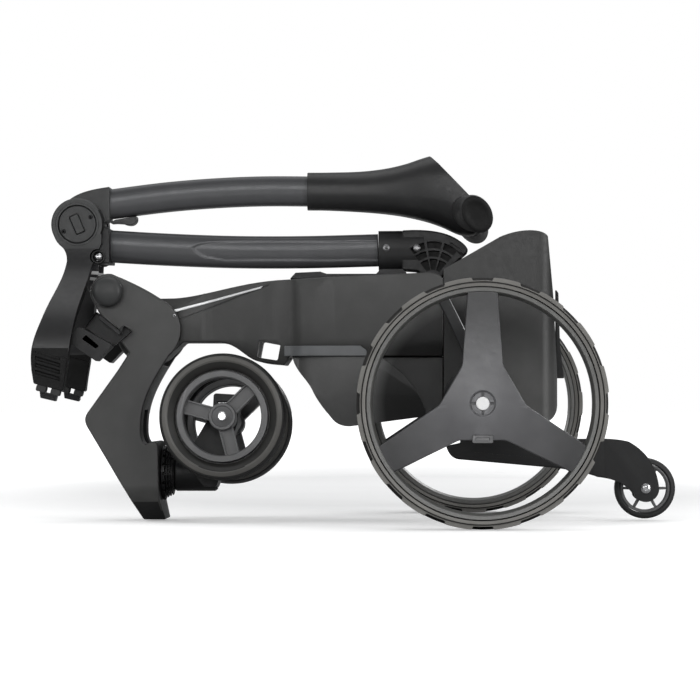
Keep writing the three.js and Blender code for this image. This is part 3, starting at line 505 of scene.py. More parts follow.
def surface(
    name, color, rough, metal=0.0, grain=0.5, depth=0.05, mottle=0.10, edge_wear_and_highlight=0.35, coat=0.0, sheen=0.0,
    brushed=None, weave=None, pits=False, spec=0.5, painted_hub_light=None, painted_chassis_light=False,
):
    """A moulded, brushed, rubber or woven finish. Grain is the size of its texture in millimetres.

    The hub light argument gives a painted tone near the rear axle and another away from it; the chassis
    argument adds the chassis's painted shade and highlight.
    """
    s = Shader(bpy.data.materials.new(name))
    spot = (s.add("TexCoord"), "Object")
    along = (s.add("Mapping", {"Vector": spot, "Scale": brushed}), "Vector") if brushed else spot
    fine = s.add("TexNoise", {"Vector": along, "Scale": 1 / (grain * MM), "Detail": 3.0, "Roughness": 0.6})
    broad = s.add("TexNoise", {"Vector": spot, "Scale": 38.0, "Detail": 5.0})
    scuff = s.add("TexNoise", {"Vector": spot, "Scale": 210.0, "Detail": 6.0, "Distortion": 0.6})
    height = (fine, "Fac")
    if pits:
        cells = s.add("TexVoronoi", {"Vector": spot, "Scale": 1 / (grain * 2.2 * MM)})
        height = (s.add("Math", {0: height, 1: (cells, "Distance")}, operation="ADD"), 0)
    if weave:
        split = s.add("SeparateXYZ", {"Vector": spot})
        turn = 2 * math.pi / (weave * MM)
        warp = s.add("Math", {0: (split, "X"), 1: turn}, operation="MULTIPLY")
        run = s.add("Math", {0: (split, "Y"), 1: (split, "Z")}, operation="ADD")
        weft = s.add("Math", {0: (run, 0), 1: turn}, operation="MULTIPLY")
        a = s.add("Math", {0: (warp, 0)}, operation="SINE")
        b = s.add("Math", {0: (weft, 0)}, operation="SINE")
        height = (s.add("Math", {0: (a, 0), 1: (b, 0)}, operation="MULTIPLY"), 0)
    dark = tuple(c * (1 - mottle) for c in color)
    light = tuple(min(1.0, c * (1 + mottle)) for c in color)
    tone = s.ramp((broad, "Fac"), [(0.32, dark), (0.68, light)])
    # Edges with high pointiness are lightened, broken up by the scuff noise: partly edge wear, partly a
    # painted highlight along the bevels.
    edge = s.ramp((s.add("NewGeometry"), "Pointiness"), [(0.512, 0.0), (0.60, 1.0)])
    patchy = s.add("Math", {0: (edge, "Color"), 1: (scuff, "Fac")}, operation="MULTIPLY")
    rubbed_and_highlit = s.add("Math", {0: (patchy, 0), 1: edge_wear_and_highlight}, operation="MULTIPLY")
    lighter = tuple(min(1.0, c * 1.9 + 0.03) for c in color)
    paint = s.add("Mix", {"Factor": (rubbed_and_highlit, 0), 6: (tone, "Color"), 7: (*lighter, 1)}, data_type="RGBA")
    rough_mix = s.span((scuff, "Fac"), 0.3, 0.7, rough - 0.06, rough + 0.07)
    paint = (paint, 2)
    if painted_hub_light or painted_chassis_light:
        painted_tone = from_axle(s, spot, painted_hub_light) if painted_hub_light else chassis_painted_light(s, spot)
        paint = (s.add("VectorMath", {0: paint, 3: (painted_tone, 0)}, operation="SCALE"), 0)
    bump = s.add("Bump", {"Height": height, "Strength": 0.6, "Distance": depth * MM})
    shader = s.add(
        "BsdfPrincipled",
        {
            "Base Color": paint,
            "Roughness": (rough_mix, 0),
            "Metallic": metal,
            "Normal": (bump, 0),
            "Coat Weight": coat,
            "Coat Roughness": 0.12,
            "Sheen Weight": sheen,
            "Sheen Roughness": 0.5,
            "Specular IOR Level": spec,
        },
    )
    return s.output(shader)


MATERIALS = {
    # the shell and tub plastics carry the chassis's painted shade and highlight
    "shell": surface("shell_plastic", (0.045, 0.045, 0.044), 0.44, depth=0.035, painted_chassis_light=True),
    # the tub is the shell plastic painted lighter: painted light from the low front
    "tub": surface("shell_plastic_painted_lighter", (0.082, 0.082, 0.081), 0.44, depth=0.035, painted_chassis_light=True),
    "shell_light": surface("rail_plastic", (0.115, 0.12, 0.125), 0.42, depth=0.03),
    "black_plastic": surface("black_plastic", (0.012, 0.012, 0.0125), 0.42, grain=0.4, depth=0.04, spec=0.34),
    "head_plastic": surface("head_plastic", (0.020, 0.020, 0.0205), 0.38, grain=0.45, depth=0.03, spec=0.42),
    "arm_plastic": surface("arm_plastic", (0.038, 0.039, 0.039), 0.44, grain=0.45, depth=0.035, spec=0.4),
    "tube": surface(
        "anodised_tube", (0.080, 0.081, 0.085), 0.34, metal=0.35, grain=1.2, depth=0.006,
        mottle=0.04, edge_wear_and_highlight=0.1, brushed=(0.06, 1.0, 1.0),
    ),
    "bright_trim": surface(
        "bright_trim", (0.85, 0.86, 0.87), 0.22, metal=0.25, grain=0.8, depth=0.004, mottle=0.02
    ),
    "white_cap": surface("white_cap", (0.92, 0.92, 0.92), 0.35, grain=0.6, depth=0.01, mottle=0.02, edge_wear_and_highlight=0.0),
    "steel": surface(
        "plated_steel", (0.60, 0.60, 0.61), 0.24, metal=1.0, grain=0.3, depth=0.008, mottle=0.05
    ),
    "dull_steel": surface(
        "dull_steel", (0.30, 0.30, 0.305), 0.32, metal=0.8, grain=0.3, depth=0.01, mottle=0.05
    ),
    # painted light: the wheel plastic is brighter near the hub and darker towards the arm ends
    "wheel": surface(
        "wheel_plastic", (0.088, 0.088, 0.092), 0.36, grain=0.35, depth=0.02, edge_wear_and_highlight=0.8, painted_hub_light=(1.5, 0.42),
    ),
    "hoop": surface("hoop_plastic", (0.12, 0.12, 0.115), 0.34, grain=0.35, depth=0.02, edge_wear_and_highlight=0.8),
    "wheel_light": surface("rim_plastic", (0.12, 0.12, 0.122), 0.4, grain=0.4, depth=0.025, edge_wear_and_highlight=0.8),
    "tyre": surface(
        "grey_tyre", (0.18, 0.175, 0.164), 0.62, grain=0.6, depth=0.09, mottle=0.12, pits=True, spec=0.35,
    ),
    "castor_rubber": surface(
        "castor_rubber", (0.016, 0.016, 0.0155), 0.5, depth=0.07, pits=True, spec=0.36,
    ),
    # painted shadow for the gaps between the tread lugs
    "painted_tread_shadow": surface(
        "painted_tread_shadow", (0.026, 0.025, 0.024), 0.62, grain=0.6, depth=0.09, pits=True, spec=0.3
    ),
    # painted light: near white on the window's inner wall, which lies in shade
    "window_painted_light": surface("window_wall_painted_light", (0.85, 0.85, 0.85), 0.45, depth=0.03),
    # painted shading in the castor tyre's groove and a painted highlight ring on its side wall
    "castor_groove_painted_shading": surface("castor_groove_painted_shading", (0.024, 0.0235, 0.022), 0.4, depth=0.06, pits=True),
    "castor_wall_painted_highlight": surface("castor_wall_painted_highlight", (0.11, 0.107, 0.1), 0.42, depth=0.06, pits=True),
    "rubber": surface("soft_rubber", (0.026, 0.026, 0.0265), 0.6, depth=0.08, pits=True, spec=0.4),
    # near black: the black arm clamps, and painted shade in the socket's pockets and on the bag arms'
    # backward-facing faces
    "deep_black_and_painted_shade": surface("deep_black_and_painted_shade", (0.005, 0.005, 0.005), 0.5, depth=0.06, pits=True, spec=0.2),
    "pad": surface("grey_pad", (0.045, 0.045, 0.045), 0.75, depth=0.12, pits=True, spec=0.3),
    "strap": surface("webbing", (0.014, 0.014, 0.016), 0.8, weave=0.9, depth=0.25, sheen=0.5, edge_wear_and_highlight=0.0),
    "strap_band": surface(
        "webbing_band", (0.62, 0.62, 0.62), 0.8, weave=0.9, depth=0.25, sheen=0.3, edge_wear_and_highlight=0.0
    ),
    "screen": surface(
        "display_glass", (0.006, 0.007, 0.009), 0.09, grain=2.0, depth=0.001, coat=1.0, edge_wear_and_highlight=0.0
    ),
    "indicator": surface("indicator", (0.42, 0.5, 0.52), 0.3, grain=0.6, depth=0.01, edge_wear_and_highlight=0.0),
}


def place(obj, name, nodes, finish, body=None, shade=True):
    """Names a piece, gives it its finish and lets it ride in place of its CAD nodes, or on a body."""
    nodes = [nodes] if isinstance(nodes, str) else list(nodes or [])
    obj.name = name
    obj.data.name = name
    obj.data.transform(Matrix.Translation(TO_FRAME))
    obj.data.materials.clear()
    obj.data.materials.append(MATERIALS[finish])
    obj.data.polygons.foreach_set("use_smooth", [True] * len(obj.data.polygons))
    if shade:
        obj.data.set_sharp_from_angle(angle=math.radians(38))
        weighted = obj.modifiers.new("normals", "WEIGHTED_NORMAL")
        weighted.keep_sharp = True
    if nodes:
        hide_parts(*nodes)
    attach(obj, body or BODY_OF[nodes[0]])
    return obj


def place_pair(make, name, node, finish, body=None):
    """Places what make(side) gives on both sides; names and CAD nodes end in the side."""
    for side in SIDES:
        place(make(side), f"{name}_{side}", node and f"{node}_{side}", finish, body)


def repaint(obj, finish, test):
    """Gives a second finish to the faces whose centre (in millimetres) and normal pass a test."""
    obj.data.materials.append(MATERIALS[finish])
    last = len(obj.data.materials) - 1
    for face in obj.data.polygons:
        if test((face.center - TO_FRAME) / MM, face.normal):
            face.material_index = last


def screw(x, z, y, side, radius):
    """A domed screw head with a six-lobed recess, on a face that looks along Y."""
    s = SIDES[side]
    head = lathe(
        [
            (0, y - s * 1.5),
            (radius, y - s * 1.5),
            (radius, y + s * 0.5),
            (radius * 0.86, y + s * 1.3),
            (radius * 0.5, y + s * 1.8),
            (0, y + s * 1.9),
        ],
        (x, z),
        32,
    )
    lobes = []
    for i in range(36):
        t = 2 * math.pi * i / 36
        r = radius * (0.42 + 0.08 * math.cos(6 * t))
        lobes.append((x + r * math.cos(t), z + r * math.sin(t)))
    return cut(head, prism(lobes, *sorted((y + s * 0.4, y + s * 6))))


# ---------------------------------------------------------------- body shell
NECK, BODY = 37, 80
PLAN = [
    (-460, NECK), (-360, NECK), (-338, NECK + 1), (-322, 42), (-288, 52), (-258, 59), (-236, 63),
    (-218, 74), (-196, BODY - 1), (-150, BODY), (-44, BODY),
]


def both_halves(line):
    """A plan outline from the points of its far half."""
    far = spline(line, 6)
    return far + [(x, -w) for x, w in reversed(far)]


def plan(extra=0.0):
    return both_halves([(x, w + extra) for x, w in PLAN])


def hinge_slot():
    shape = (
        "M -81 420 L -81 308 L -79 304 A -57 304 22 180 270 L -57 234 "
        "A -57 304 70 270 330 L 64 378 L 64 420"
    )
    return prism(outline(shape), -24, 24)


SHELL_SIDE = (
    "M -371 225 L -324 225 C -300 222 -292 204 -275 200.5 C -262 197 -250 198 -243 196 L -236 207 "
    "L -44 207 L -44 300 Q -45 310 -62 311 L -239 303 C -300 301 -345 282 -384 281 "
    "A -415 240 42.5 75 298.6"
)


WINDOW = [(-274, 227), (-247.5, 222), (-251.5, 202), (-277.5, 206)]
# two planes that bevel the neck: the front and rear end of each one's lower edge, and a point above
NECK_SLOPES = (
    ((-383, -37, 266), (-262, -59, 304), (-383, -23, 282)),
    ((-383, -37.2, 252), (-262, -60, 297), (-383, -33.6, 267)),
)


def main_shell():
    body = join(prism(plan(), 228.99, 340, "Z"), prism(plan(), 190, 229, "Z", shrink=0.8))
    meet(body, prism(outline(SHELL_SIDE), -100, 100))
    for low, high, top in NECK_SLOPES:
        low, high, top = Vector(low), Vector(high), Vector(top)
        chop(body, low, (high - low).cross(top - low), True)
    soften(body, 1.8, segments=4, merge=0.4)
    groove = prism([(-392, 246), (-262, 295), (-262.6, 297.2), (-392, 249)], -100, 100)
    inner = prism(plan(-2.2), 200, 330, "Z")
    return cut(
        body,
        cut(groove, inner),
        block((-222, -60, 213), (-88, 60, 340)),
        block((-86, -60, 150), (-48, 60, 285)),
        prism(rounded(WINDOW, 2.5), -100, 100),
        hinge_slot(),
        drum(5.4, MAIN_HINGE, -60, 60),
        drum(9.4, LEG_PIVOT, -70, 70),
    )


shell_piece = place(main_shell(), "body_shell", "main_shell", "shell")
# the window's inner wall is painted near white as painted light
repaint(shell_piece, "window_painted_light", lambda p, n: -280 < p.x < -268 and 203 < p.z < 229 and n.x > 0.6)


def neck_trim(side):
    band = cut(prism(plan(1.2), 229, 320, "Z"), prism(plan(-5), 228, 321, "Z"))
    strip = side_prism([(-383, 262.5), (-272, 292), (-270, 295), (-384, 266)], side, 20, 100)
    return soften(meet(band, strip), 0.7)


place_pair(neck_trim, "trim", "neck_trim", "bright_trim")


def side_rail(side):
    band = cut(prism(plan(4), 207, 220, "Z"), prism(plan(-1), 206, 221, "Z"))
    ends = rounded([(-243, 207), (-139, 207), (-139, 214), (-147, 220), (-243, 220)], [0, 0, 3, 3, 0])
    return soften(meet(band, side_prism(ends, side, 50, 100)), 1.2, merge=0.4)


place_pair(side_rail, "rail", "side_rail", "shell_light")


TUB_PLAN = [(-246, 48), (-232, 52), (-214, 66), (-192, 74), (-160, 77), (-43.8, 77)]


def lower_tub():
    shape = both_halves(TUB_PLAN)
    wide = join(prism(shape, 160, 207, "Z"), prism(shape, 100, 160.01, "Z", shrink=0.72))
    side = outline(
        "M -233 206.6 C -228 186 -214 180 -206 162 C -199 148 -190 138 -182 128 "
        "Q -174 119 -160 119.5 L -43.8 134.9 L -43.8 206.6"
    )
    bulge = meet(
        prism(side, -90, 90),
        prism(outline("M -260 90 L -62 90 L -66 136 Q -80 184 -126 207 L -260 207"), -90.5, 90.5),
        wide,
    )
    middle = meet(prism(side, -58, 58), prism(rectangle(-250, 90, -43, 207), -70, 70))
    body = join(soften(bulge, 2.4, segments=4, merge=0.4, where=lambda p: p.z < 206), soften(middle, 1.5))
    return cut(body, prism([(-206, 208), (-176, 132), (-52, 142), (-52, 208)], -54, 54))


place(lower_tub(), "tub", "lower_tub", "tub")


def housing_side(inset=0.0):
    left, i = -43.6 + inset, inset
    return outline(
        f"M {left} 125 L {left} {315 - i} L 26 {355 - i} "
        f"C 50 {366 - i} {80 - i} {366 - i} {86 - i} {356 - i} "
        f"L {93 - i} 280 L {98 - i} 180 L {98 - i} 146 Q {97 - i} 130 {84 - i} 125"
    )


def housing_plan(inset=0.0):
    h, r = 78 - inset, 99 - inset
    near = f"M -60 {-h} L {r - 30} {-h} Q {r} {-h} {r} {30 - h} "
    return outline(near + f"L {r} {h - 30} Q {r} {h} {r - 30} {h} L -60 {h}")


def rear_housing():
    outer = meet(prism(housing_side(), -90, 90), prism(housing_plan(), 100, 400, "Z"))
    crease, along = Vector((28.6, -78, 236)), Vector((49, 0, -52))
    inward = Vector((-52, 2.0, -50))
    normal = inward.cross(along)
    chop(outer, crease, normal if normal.y < 0 else -normal, True)
    soften(outer, 1.2, angle=50, segments=4, merge=0.4)
    inner = meet(prism(housing_side(4), -90, 90), prism(housing_plan(4), 100, 400, "Z"))
    return cut(
        outer,
        inner,
        block((-45, -70, 100), (92, 70, 180)),
        hinge_slot(),
        drum(34.4, AXLE, -100, 100),
        block((88, -6, 322), (100, 6, 328)),
    )


place(rear_housing(), "housing", "rear_housing", "shell")


def rear_spine():
    fin = prism([(98.8, 292), (102, 288), (104, 222), (109, 180), (98.8, 180)], -11, 11)
    slots = [block((100.5, -7, z), (120, 7, z + 2.2)) for z in range(190, 284, 6)]
    return cut(fin, *slots)


place(soften(rear_spine(), 0.7), "spine", "rear_spine", "black_plastic")


# ---------------------------------------------------------------- battery
def battery():
    cap = outline(
        "M -236 304.5 L -229 312 L -198 313.4 L -190 310.6 L -128 310.6 "
        "L -122 316.6 L -95 316.6 L -90 312 L -90 304.5"
    )
    body = join(block((-221, -59, 214), (-90, 59, 305)), prism(cap, -52, 52))
    soften(cut(body, block((-188, -30, 296), (-130, 30, 320))), 0.56, merge=0.9)
    ribs = [block((x, -40, 311.8), (x + 1.6, 40, 316)) for x in (-226, -221, -216, -211, -206)]
    lines = [block((-118, y, 315.4), (-98, y + 1.6, 318)) for y in range(-40, 41, 8)]
    return cut(body, *ribs, *lines)


place(battery(), "battery_case", "battery", "black_plastic")


def battery_handle():
    legs = [(-186, 297), (-178, 297), (-172, 305), (-146, 305), (-140, 297), (-132, 297)]
    return prism(rounded(legs + [(-140, 310), (-178, 310)], 2.5), -9, 9)


place(soften(battery_handle(), 1.1), "battery_grip", "battery_handle", "black_plastic")


# ---------------------------------------------------------------- drive line
def axle_housing():
    profile = [(0, -149.6), (34, -149.6)]
    for i in range(11):
        y = -130 + i * 26
        profile += [(34, y - 3), (32.6, y - 2), (32.6, y + 2), (34, y + 3)]
    return lathe(profile + [(34, 149.6), (0, 149.6)], AXLE)


place(soften(axle_housing(), 0.6), "axle_tube", "axle_housing", "black_plastic")


def drive_unit(side):
    profile = [(0, 150), (40, 150), (46, 155)]
    for i in range(5):
        y = 162 + i * 8
        profile += [(46, y - 1.6), (43.4, y - 1), (43.4, y + 1), (46, y + 1.6)]
    profile += [(46, 202), (43, 207), (36, 214), (30, 214), (29, 212.6), (20, 212.6), (19, 214), (14, 214)]
    profile += [(14, 236), (8, 236), (8, 289), (6.8, 292), (3.2, 292), (2.4, 289), (0, 289)]
    return soften(lathe(on_side(profile, side), AXLE), 0.6)


def drive_screws(side):
    return combine([screw(*p, SIDES[side] * 214, side, 3.4) for p in circle(*AXLE, 33, 6)])


place_pair(drive_unit, "gearbox", "drive_unit", "black_plastic")
place_pair(drive_screws, "gearbox_screws", None, "steel", "root")


def strut_line(side, out=0.0):
    s = SIDES[side]
    points = [(-47, s * 86, 283), (-42, s * 104, 272), (-26, s * 142, 238), (-9, s * 166, 199)]
    return spline([(x + out, y + s * out * 0.4, z + out * 0.8) for x, y, z in points], 10)


def drive_strut(side):
    return sweep(rounded(rectangle(-4, -7, 4, 7), 2.5), strut_line(side), across=(0, 1, 0.2))


def strut_bead(side):
    return sweep(circle(0, 0, 1.4, 12), strut_line(side, 4.6)[5:24])


place_pair(drive_strut, "strut", "drive_strut", "black_plastic")
place_pair(strut_bead, "strut_line", None, "bright_trim", "root")


# ---------------------------------------------------------------- anti-tip arm and wheel
def antitip_arm():
    shape = outline(
        "M -40 94 Q -36 79 -24 77.5 L 101 66.5 Q 140 60 150 55.5 C 175 53 188 45 197 34 "
        "A 211 41 17 -149 -5.7 C 226 68 212 88 190 100 Q 180 103 160 103.5 L 22 102.5 "
        "L 22 113.5 L -22 113.5 L -22 98"
    )
    body = soften(prism(shape, -22, 22), 1.65, segments=4)
    wheel_room = join(drum(41.5, ANTITIP_AXLE, -13.5, 13.5), block((211, -13.5, 0), (260, 13.5, 110)))
    cut(body, wheel_room, drum(4.4, ANTITIP_AXLE, -30, 30))
    for side in SIDES:
        recess = side_prism(rounded([(-8, 87), (128, 75.5), (140, 92), (-4, 95)], 5), side, 20.8, 30)
        cut(body, recess, side_prism([(160, 20), (250, 20), (250, 120), (158, 120)], side, 20.6, 30))
    return body


place(antitip_arm(), "rear_arm", "antitip_arm", "black_plastic")


def antitip_bolt():
    bolt = drum(4, ANTITIP_AXLE, -20.2, 20.2)
    return combine([bolt] + [screw(*ANTITIP_AXLE, SIDES[side] * 21.8, side, 6.2) for side in SIDES])


place(antitip_bolt(), "arm_bolt", "antitip_bolt", "steel")


def antitip_rim():
    section = [(31, -8), (31, 8), (29.6, 8.6), (27.6, 8), (26.8, 0), (27.6, -8), (29.6, -8.6)]
    hoop = ring(section, ANTITIP_AXLE, 72)
    spokes = []
    for i in range(6):
        t = i * math.pi / 3
        shape = turned_outline([(5, -2), (29, -1.4), (29, 1.4), (5, 2)], *ANTITIP_AXLE, t)
        spokes.append(prism(shape, -6, 6))
    hub = lathe([(0, -12), (6.5, -12), (8.4, -10.5), (8.4, 10.5), (6.5, 12), (0, 12)], ANTITIP_AXLE, 40)
    body = join(hoop, hub, *spokes)
    return cut(body, drum(4.4, ANTITIP_AXLE, -30, 30, 32))


place(soften(antitip_rim(), 0.28), "tail_rim", "antitip_rim", "wheel_light")


def antitip_tyre():
    profile = [(31.4, -9), (33, -10), (35.6, -9.6), (37.2, -8), (38.2, -5), (38.5, 0)]
    return ring(mirrored(profile), ANTITIP_AXLE, 96)


place(antitip_tyre(), "tail_tyre", "antitip_tyre", "rubber")


# ---------------------------------------------------------------- rear wheels
WHEEL_MID, WHEEL_FACE = 270, 292


def smooth(a, b, x):
    t = max(0.0, min(1.0, (x - a) / (b - a)))
    return t * t * (3 - 2 * t)


def tread_lift(theta, half, y):
    """How far the tread stands at an angle: broad lugs, staggered between the two halves."""
    pitch = 2 * math.pi / 16
    shift = 0.0 if half > 0 else 0.5 * pitch
    away = abs((theta + shift) % pitch - pitch / 2)
    lug = 1 - smooth(0.104, 0.120, away)
    return lug if y > 5.5 else 0.35 * lug


def rear_tyre(side, count=768):
    s = SIDES[side]
    wall = [(137.0, 25.6), (140.6, 27.0), (141.0, 25.0), (142.2, 25.0), (142.6, 27.0), (143.4, 26.6)]
    tread = [26.2, 24.5, 22, 19, 15, 11, 7, 5.6, 4.6, 3, 0]
    rows = []
    for i in range(count):
        t = 2 * math.pi * i / count
        row = list(wall)
        for half, order in ((1, tread), (-1, tread[-2::-1])):
            for y in order:
                crown = 143.4 + 0.8 * (1 - (y / 26) ** 2)
                row.append((crown + 3.8 * tread_lift(t, half, y), half * y))
        row += [(r, -y) for r, y in reversed(wall)]
        rows.append([(r * math.cos(t), s * (WHEEL_MID + y), AXLE[1] + r * math.sin(t)) for r, y in row])
    return skin(rows, closed=True)


# the faces in the tread gaps, which get the painted shadow
def in_tread_gap(p, n):
    away = abs(abs(p.y) - WHEEL_MID)
    low = math.hypot(p.x, p.z - AXLE[1]) < 145.6
    return away < 25.8 and (low or (away < 12 and abs(n.y) > 0.5))


def star_outline(arms=3):
    """Three tapered arms that meet in a hub with cut-off shoulders."""
    points, radii = [], []
    for i in range(arms):
        t = math.pi / 2 + i * 2 * math.pi / arms
        arm = [(45, -23.5), (134.5, -17.5), (134.5, 17.5), (45, 23.5)]
        points += turned_outline(arm, *AXLE, t)
        radii += [14, 0, 0, 14]
    return rounded(points, radii, 6)


def rear_hoop(side):
    section = [
        (136.6, 246), (136.6, 292), (135.4, 293.6), (131.4, 293.2), (130.2, 290), (130.2, 284),
        (128.8, 281), (128.8, 262), (130.4, 259), (130.4, 246), (132, 244.6), (135.4, 244.6),
    ]
    return ring(on_side(section, side), AXLE, 160)


def rear_star(side):
    """The three arms, domed towards the hub and hollow behind."""
    s, face = SIDES[side], WHEEL_FACE
    heights = [
        (0, -18), (150, -18), (150, -1), (90, -1), (70, -0.4), (52, 1.2),
        (38, 3.4), (26, 5), (14.6, 5.8), (14.2, 4.6), (0, 4.6),
    ]
    dome = lathe(on_side([(r, face + d) for r, d in heights], side), AXLE, 144)
    star = meet(side_prism(star_outline(), side, face - 30, face + 20), dome)
    soften(star, 1.6, segments=4)
    hub_back = [(0, face - 24), (40, face - 24), (42, face - 17), (0, face - 17)]
    body = join(star, lathe(on_side(hub_back, side), AXLE))
    tools = [drum(8.4, AXLE, *sorted((s * 232, s * 320))), drum(14.4, AXLE, *sorted((s * 222, s * 242)))]
    for i in range(4):
        notch = turned_outline(rectangle(7, -1.7, 13.4, 1.7), *AXLE, i * math.pi / 2)
        tools.append(side_prism(notch, side, face + 1.6, 320))
    groove = [(13.2, face + 3), (13.2, 320), (14.2, 320), (14.2, face + 3)]
    tools.append(ring(on_side(groove, side), AXLE, 96))
    slot = rounded(rectangle(-12.4, AXLE[1] - 46.4, 12.4, AXLE[1] - 36.6), 2)
    tools.append(side_prism(slot, side, face - 14, 320))
    for i in range(3):
        t = math.pi / 2 + i * 2 * math.pi / 3
        pocket = turned_outline([(54, -15), (124, -11.5), (124, 11.5), (54, 15)], *AXLE, t)
        tools.append(side_prism(rounded(pocket, 5), side, face - 30, face - 6))
    return cut(body, *tools)


def release_key(side):
    button = side_prism(rounded(rectangle(-12, 102, 12, 111), 2), side, 282.4, 297)
    dent = side_prism(rounded(rectangle(-8, 104.5, 8, 108.5), 1.5), side, 296, 300)
    return soften(cut(button, dent), 0.6)


place_pair(rear_star, "wheel_star", "rear_rim", "wheel")
place_pair(release_key, "release_key", "release_button", "wheel_light")
for side in SIDES:
    tyre = place(rear_tyre(side), "wheel_tyre_" + side, "rear_tyre_" + side, "tyre")
    # painted shadow in the tread gaps
    repaint(tyre, "painted_tread_shadow", in_tread_gap)
    place(rear_hoop(side), "wheel_hoop_" + side, None, "hoop", "rear_wheel_" + side)
    cap = lathe(on_side([(0, 290), (7.9, 290), (7.9, 296.2), (7.1, 297), (0, 297)], side), AXLE, 64)
    place(cap, "axle_end_" + side, None, "white_cap", "rear_wheel_" + side)


# ---------------------------------------------------------------- lower shaft
def tube_section(width, height, crease=0.18):
    """The tube's section: rounded top and bottom and a soft crease along each side."""
    half = [
        (0, 1.0), (0.42, 0.985), (0.72, 0.90), (0.90, 0.68), (0.975, 0.42), (1.0, crease), (0.985, -0.05),
        (0.94, -0.38), (0.83, -0.70), (0.62, -0.91), (0.34, -0.985), (0, -1.0),
    ]
    line = spline(half, 4)
    points = line + [(-a, b) for a, b in reversed(line[1:-1])]
    return [(a * width, b * height) for a, b in points]


LOWER_TUBE = [(-471.5, 0, 348.3), (-395, 0, 343.8), (-310, 0, 340.6), (-220, 0, 340.3), (-126, 0, 342.6)]
UPPER_TUBE = [(-474, 0, 400.5), (-400, 0, 410), (-335, 0, 415.4), (-270, 0, 417.9), (-198, 0, 417.4)]


def lower_tube():
    """The tube, with a long shallow recess on each side that opens backwards from a rounded tip."""
    tube = sweep(tube_section(17, 20.5), spline(LOWER_TUBE, 40))
    for v in tube.data.vertices:
        x, y, z = v.co / MM
        t = (x + 360) / 40
        if t < 0:
            continue
        grow = math.sqrt(min(1.0, t * 3)) * 0.55 + 0.45 * min(1.0, t)
        top, low = 345.5 + 7.5 * grow, 345.5 - 16.0 * grow
        inside = smooth(low - 1.0, low + 0.4, z) * (1 - smooth(top - 0.4, top + 1.0, z))
        v.co.y -= math.copysign(0.9 * inside * smooth(6, 12, abs(y)), y) * MM
    return tube


place(lower_tube(), "lower_shaft_tube", "lower_tube", "tube", shade=False)


def fan_pocket(low, high, a, b, side):
    """A pocket between two radii and two angles about the main hinge."""
    x, z = MAIN_HINGE
    start_x, start_z = x + low * math.cos(math.radians(a)), z + low * math.sin(math.radians(a))
    shape = outline(f"M {start_x} {start_z} A {x} {z} {high} {a} {b} A {x} {z} {low} {b} {a}")
    return side_prism(rounded(shape, 0.8, 2), side, 11, 30)


def hinge_socket():
    plate = outline(
        "M -96 316.4 L -76 315 L -67 306 A -57 304 10 180 360 L -38 316 L -14 338 Q -10 343 -18 350 "
        "C -34 364 -56 368 -84 367.5 L -96 367"
    )
    sleeve = sweep(tube_section(21.5, 25.4), [(-125.5, 0, 341.6), (-98, 0, 341.8), (-68, 0, 342)])
    body = join(soften(prism(plate, -19.5, 19.5), 2.5, segments=4), sleeve)
    tools = [drum(5.4, MAIN_HINGE, -60, 60)]
    for side in SIDES:
        for low, high in ((13, 27), (29.6, 37.6), (40.2, 49)):
            for a, b in ((50, 72), (76, 99), (103, 126)):
                tools.append(fan_pocket(low, high, a, b, side))
        for i in range(3):
            left, right, drop = 5 * i - 34, 2 * i - 20, 5 * i
            bar = [(left, 352 - drop), (right, 342 - drop), (right - 2, 339 - drop), (left - 2, 349 - drop)]
            tools.append(side_prism(bar, side, 14, 30))
    return cut(body, *tools)


def in_fan_pocket(p, n):
    x, z = p.x - MAIN_HINGE[0], p.z - MAIN_HINGE[1]
    return abs(p.y) < 19.2 and 12 < math.hypot(x, z) < 49.2 and 45 < math.degrees(math.atan2(z, x)) < 131


socket = place(hinge_socket(), "shaft_socket", "hinge_socket", "black_plastic")
# painted shade: the fan pockets are painted near black
repaint(socket, "deep_black_and_painted_shade", in_fan_pocket)
socket_screws = [screw(x, 344.5, SIDES[side] * 20.9, side, 4.6) for side in SIDES for x in (-115.5, -77)]
place(combine(socket_screws), "socket_screws", None, "dull_steel", "lower_shaft")


def pin(r, centre, half, chamfer=1.2):
    ends = [(0, -half), (r - chamfer, -half), (r, -half + chamfer)]
    return lathe(ends + [(a, -b) for a, b in reversed(ends)], centre, 48)


place(pin(5, MAIN_HINGE, 58), "hinge_pin", "main_hinge_pin", "steel")
place(pin(9, LEG_PIVOT, 50.5), "leg_pin", "leg_pivot_pin", "steel")


def mid_joint_lower():
    ear = outline("M -465 325 L -465 369 Q -470 372 -472 372 A -505 374 33 -3 225 Q -512 332 -490 326")
    ears = [side_prism(ear, side, 20, 34) for side in SIDES]
    middle = prism([(-465, 325), (-465, 369), (-470, 369), (-482, 344), (-490, 326)], -34, 34)
    body = join(soften(middle, 1.2), *[soften(ear, 2.0, segments=4) for ear in ears])
    room = sweep(tube_section(17.4, 20.9), spline([(-472, 0, 348.4), (-440, 0, 346.4), (-400, 0, 344.1)], 8))
    return cut(body, room, drum(9.4, MID_JOINT, -60, 60), drum(6.7, LOCK_PIN, -60, 60))


place(mid_joint_lower(), "mid_yoke", "mid_joint_lower", "black_plastic")


def key_slot(half_width, half_length, radius):
    """The outline of the key recess in the joint cap, turned with the joint."""
    shape = rounded(rectangle(-half_width, -half_length, half_width, half_length), radius)
    return turned_outline(shape, *MID_JOINT, math.radians(23))


def mid_joint_pin():
    head = 34.4
    top = head + 5.4
    profile = [(0, top), (22.6, top), (23.6, head + 4.6), (24, head + 3.6), (24, head), (9, head)]
    full = [(r, -y) for r, y in profile] + [(r, y) for r, y in reversed(profile)]
    body = lathe(full, MID_JOINT)
    tools = []
    for side in SIDES:
        groove = side_prism(key_slot(6.2, 12.6, 1.5), side, head + 3.2, 60)
        tools.append(cut(groove, side_prism(key_slot(5.4, 11.8, 1.2), side, 30, 61)))
    return cut(body, *tools)


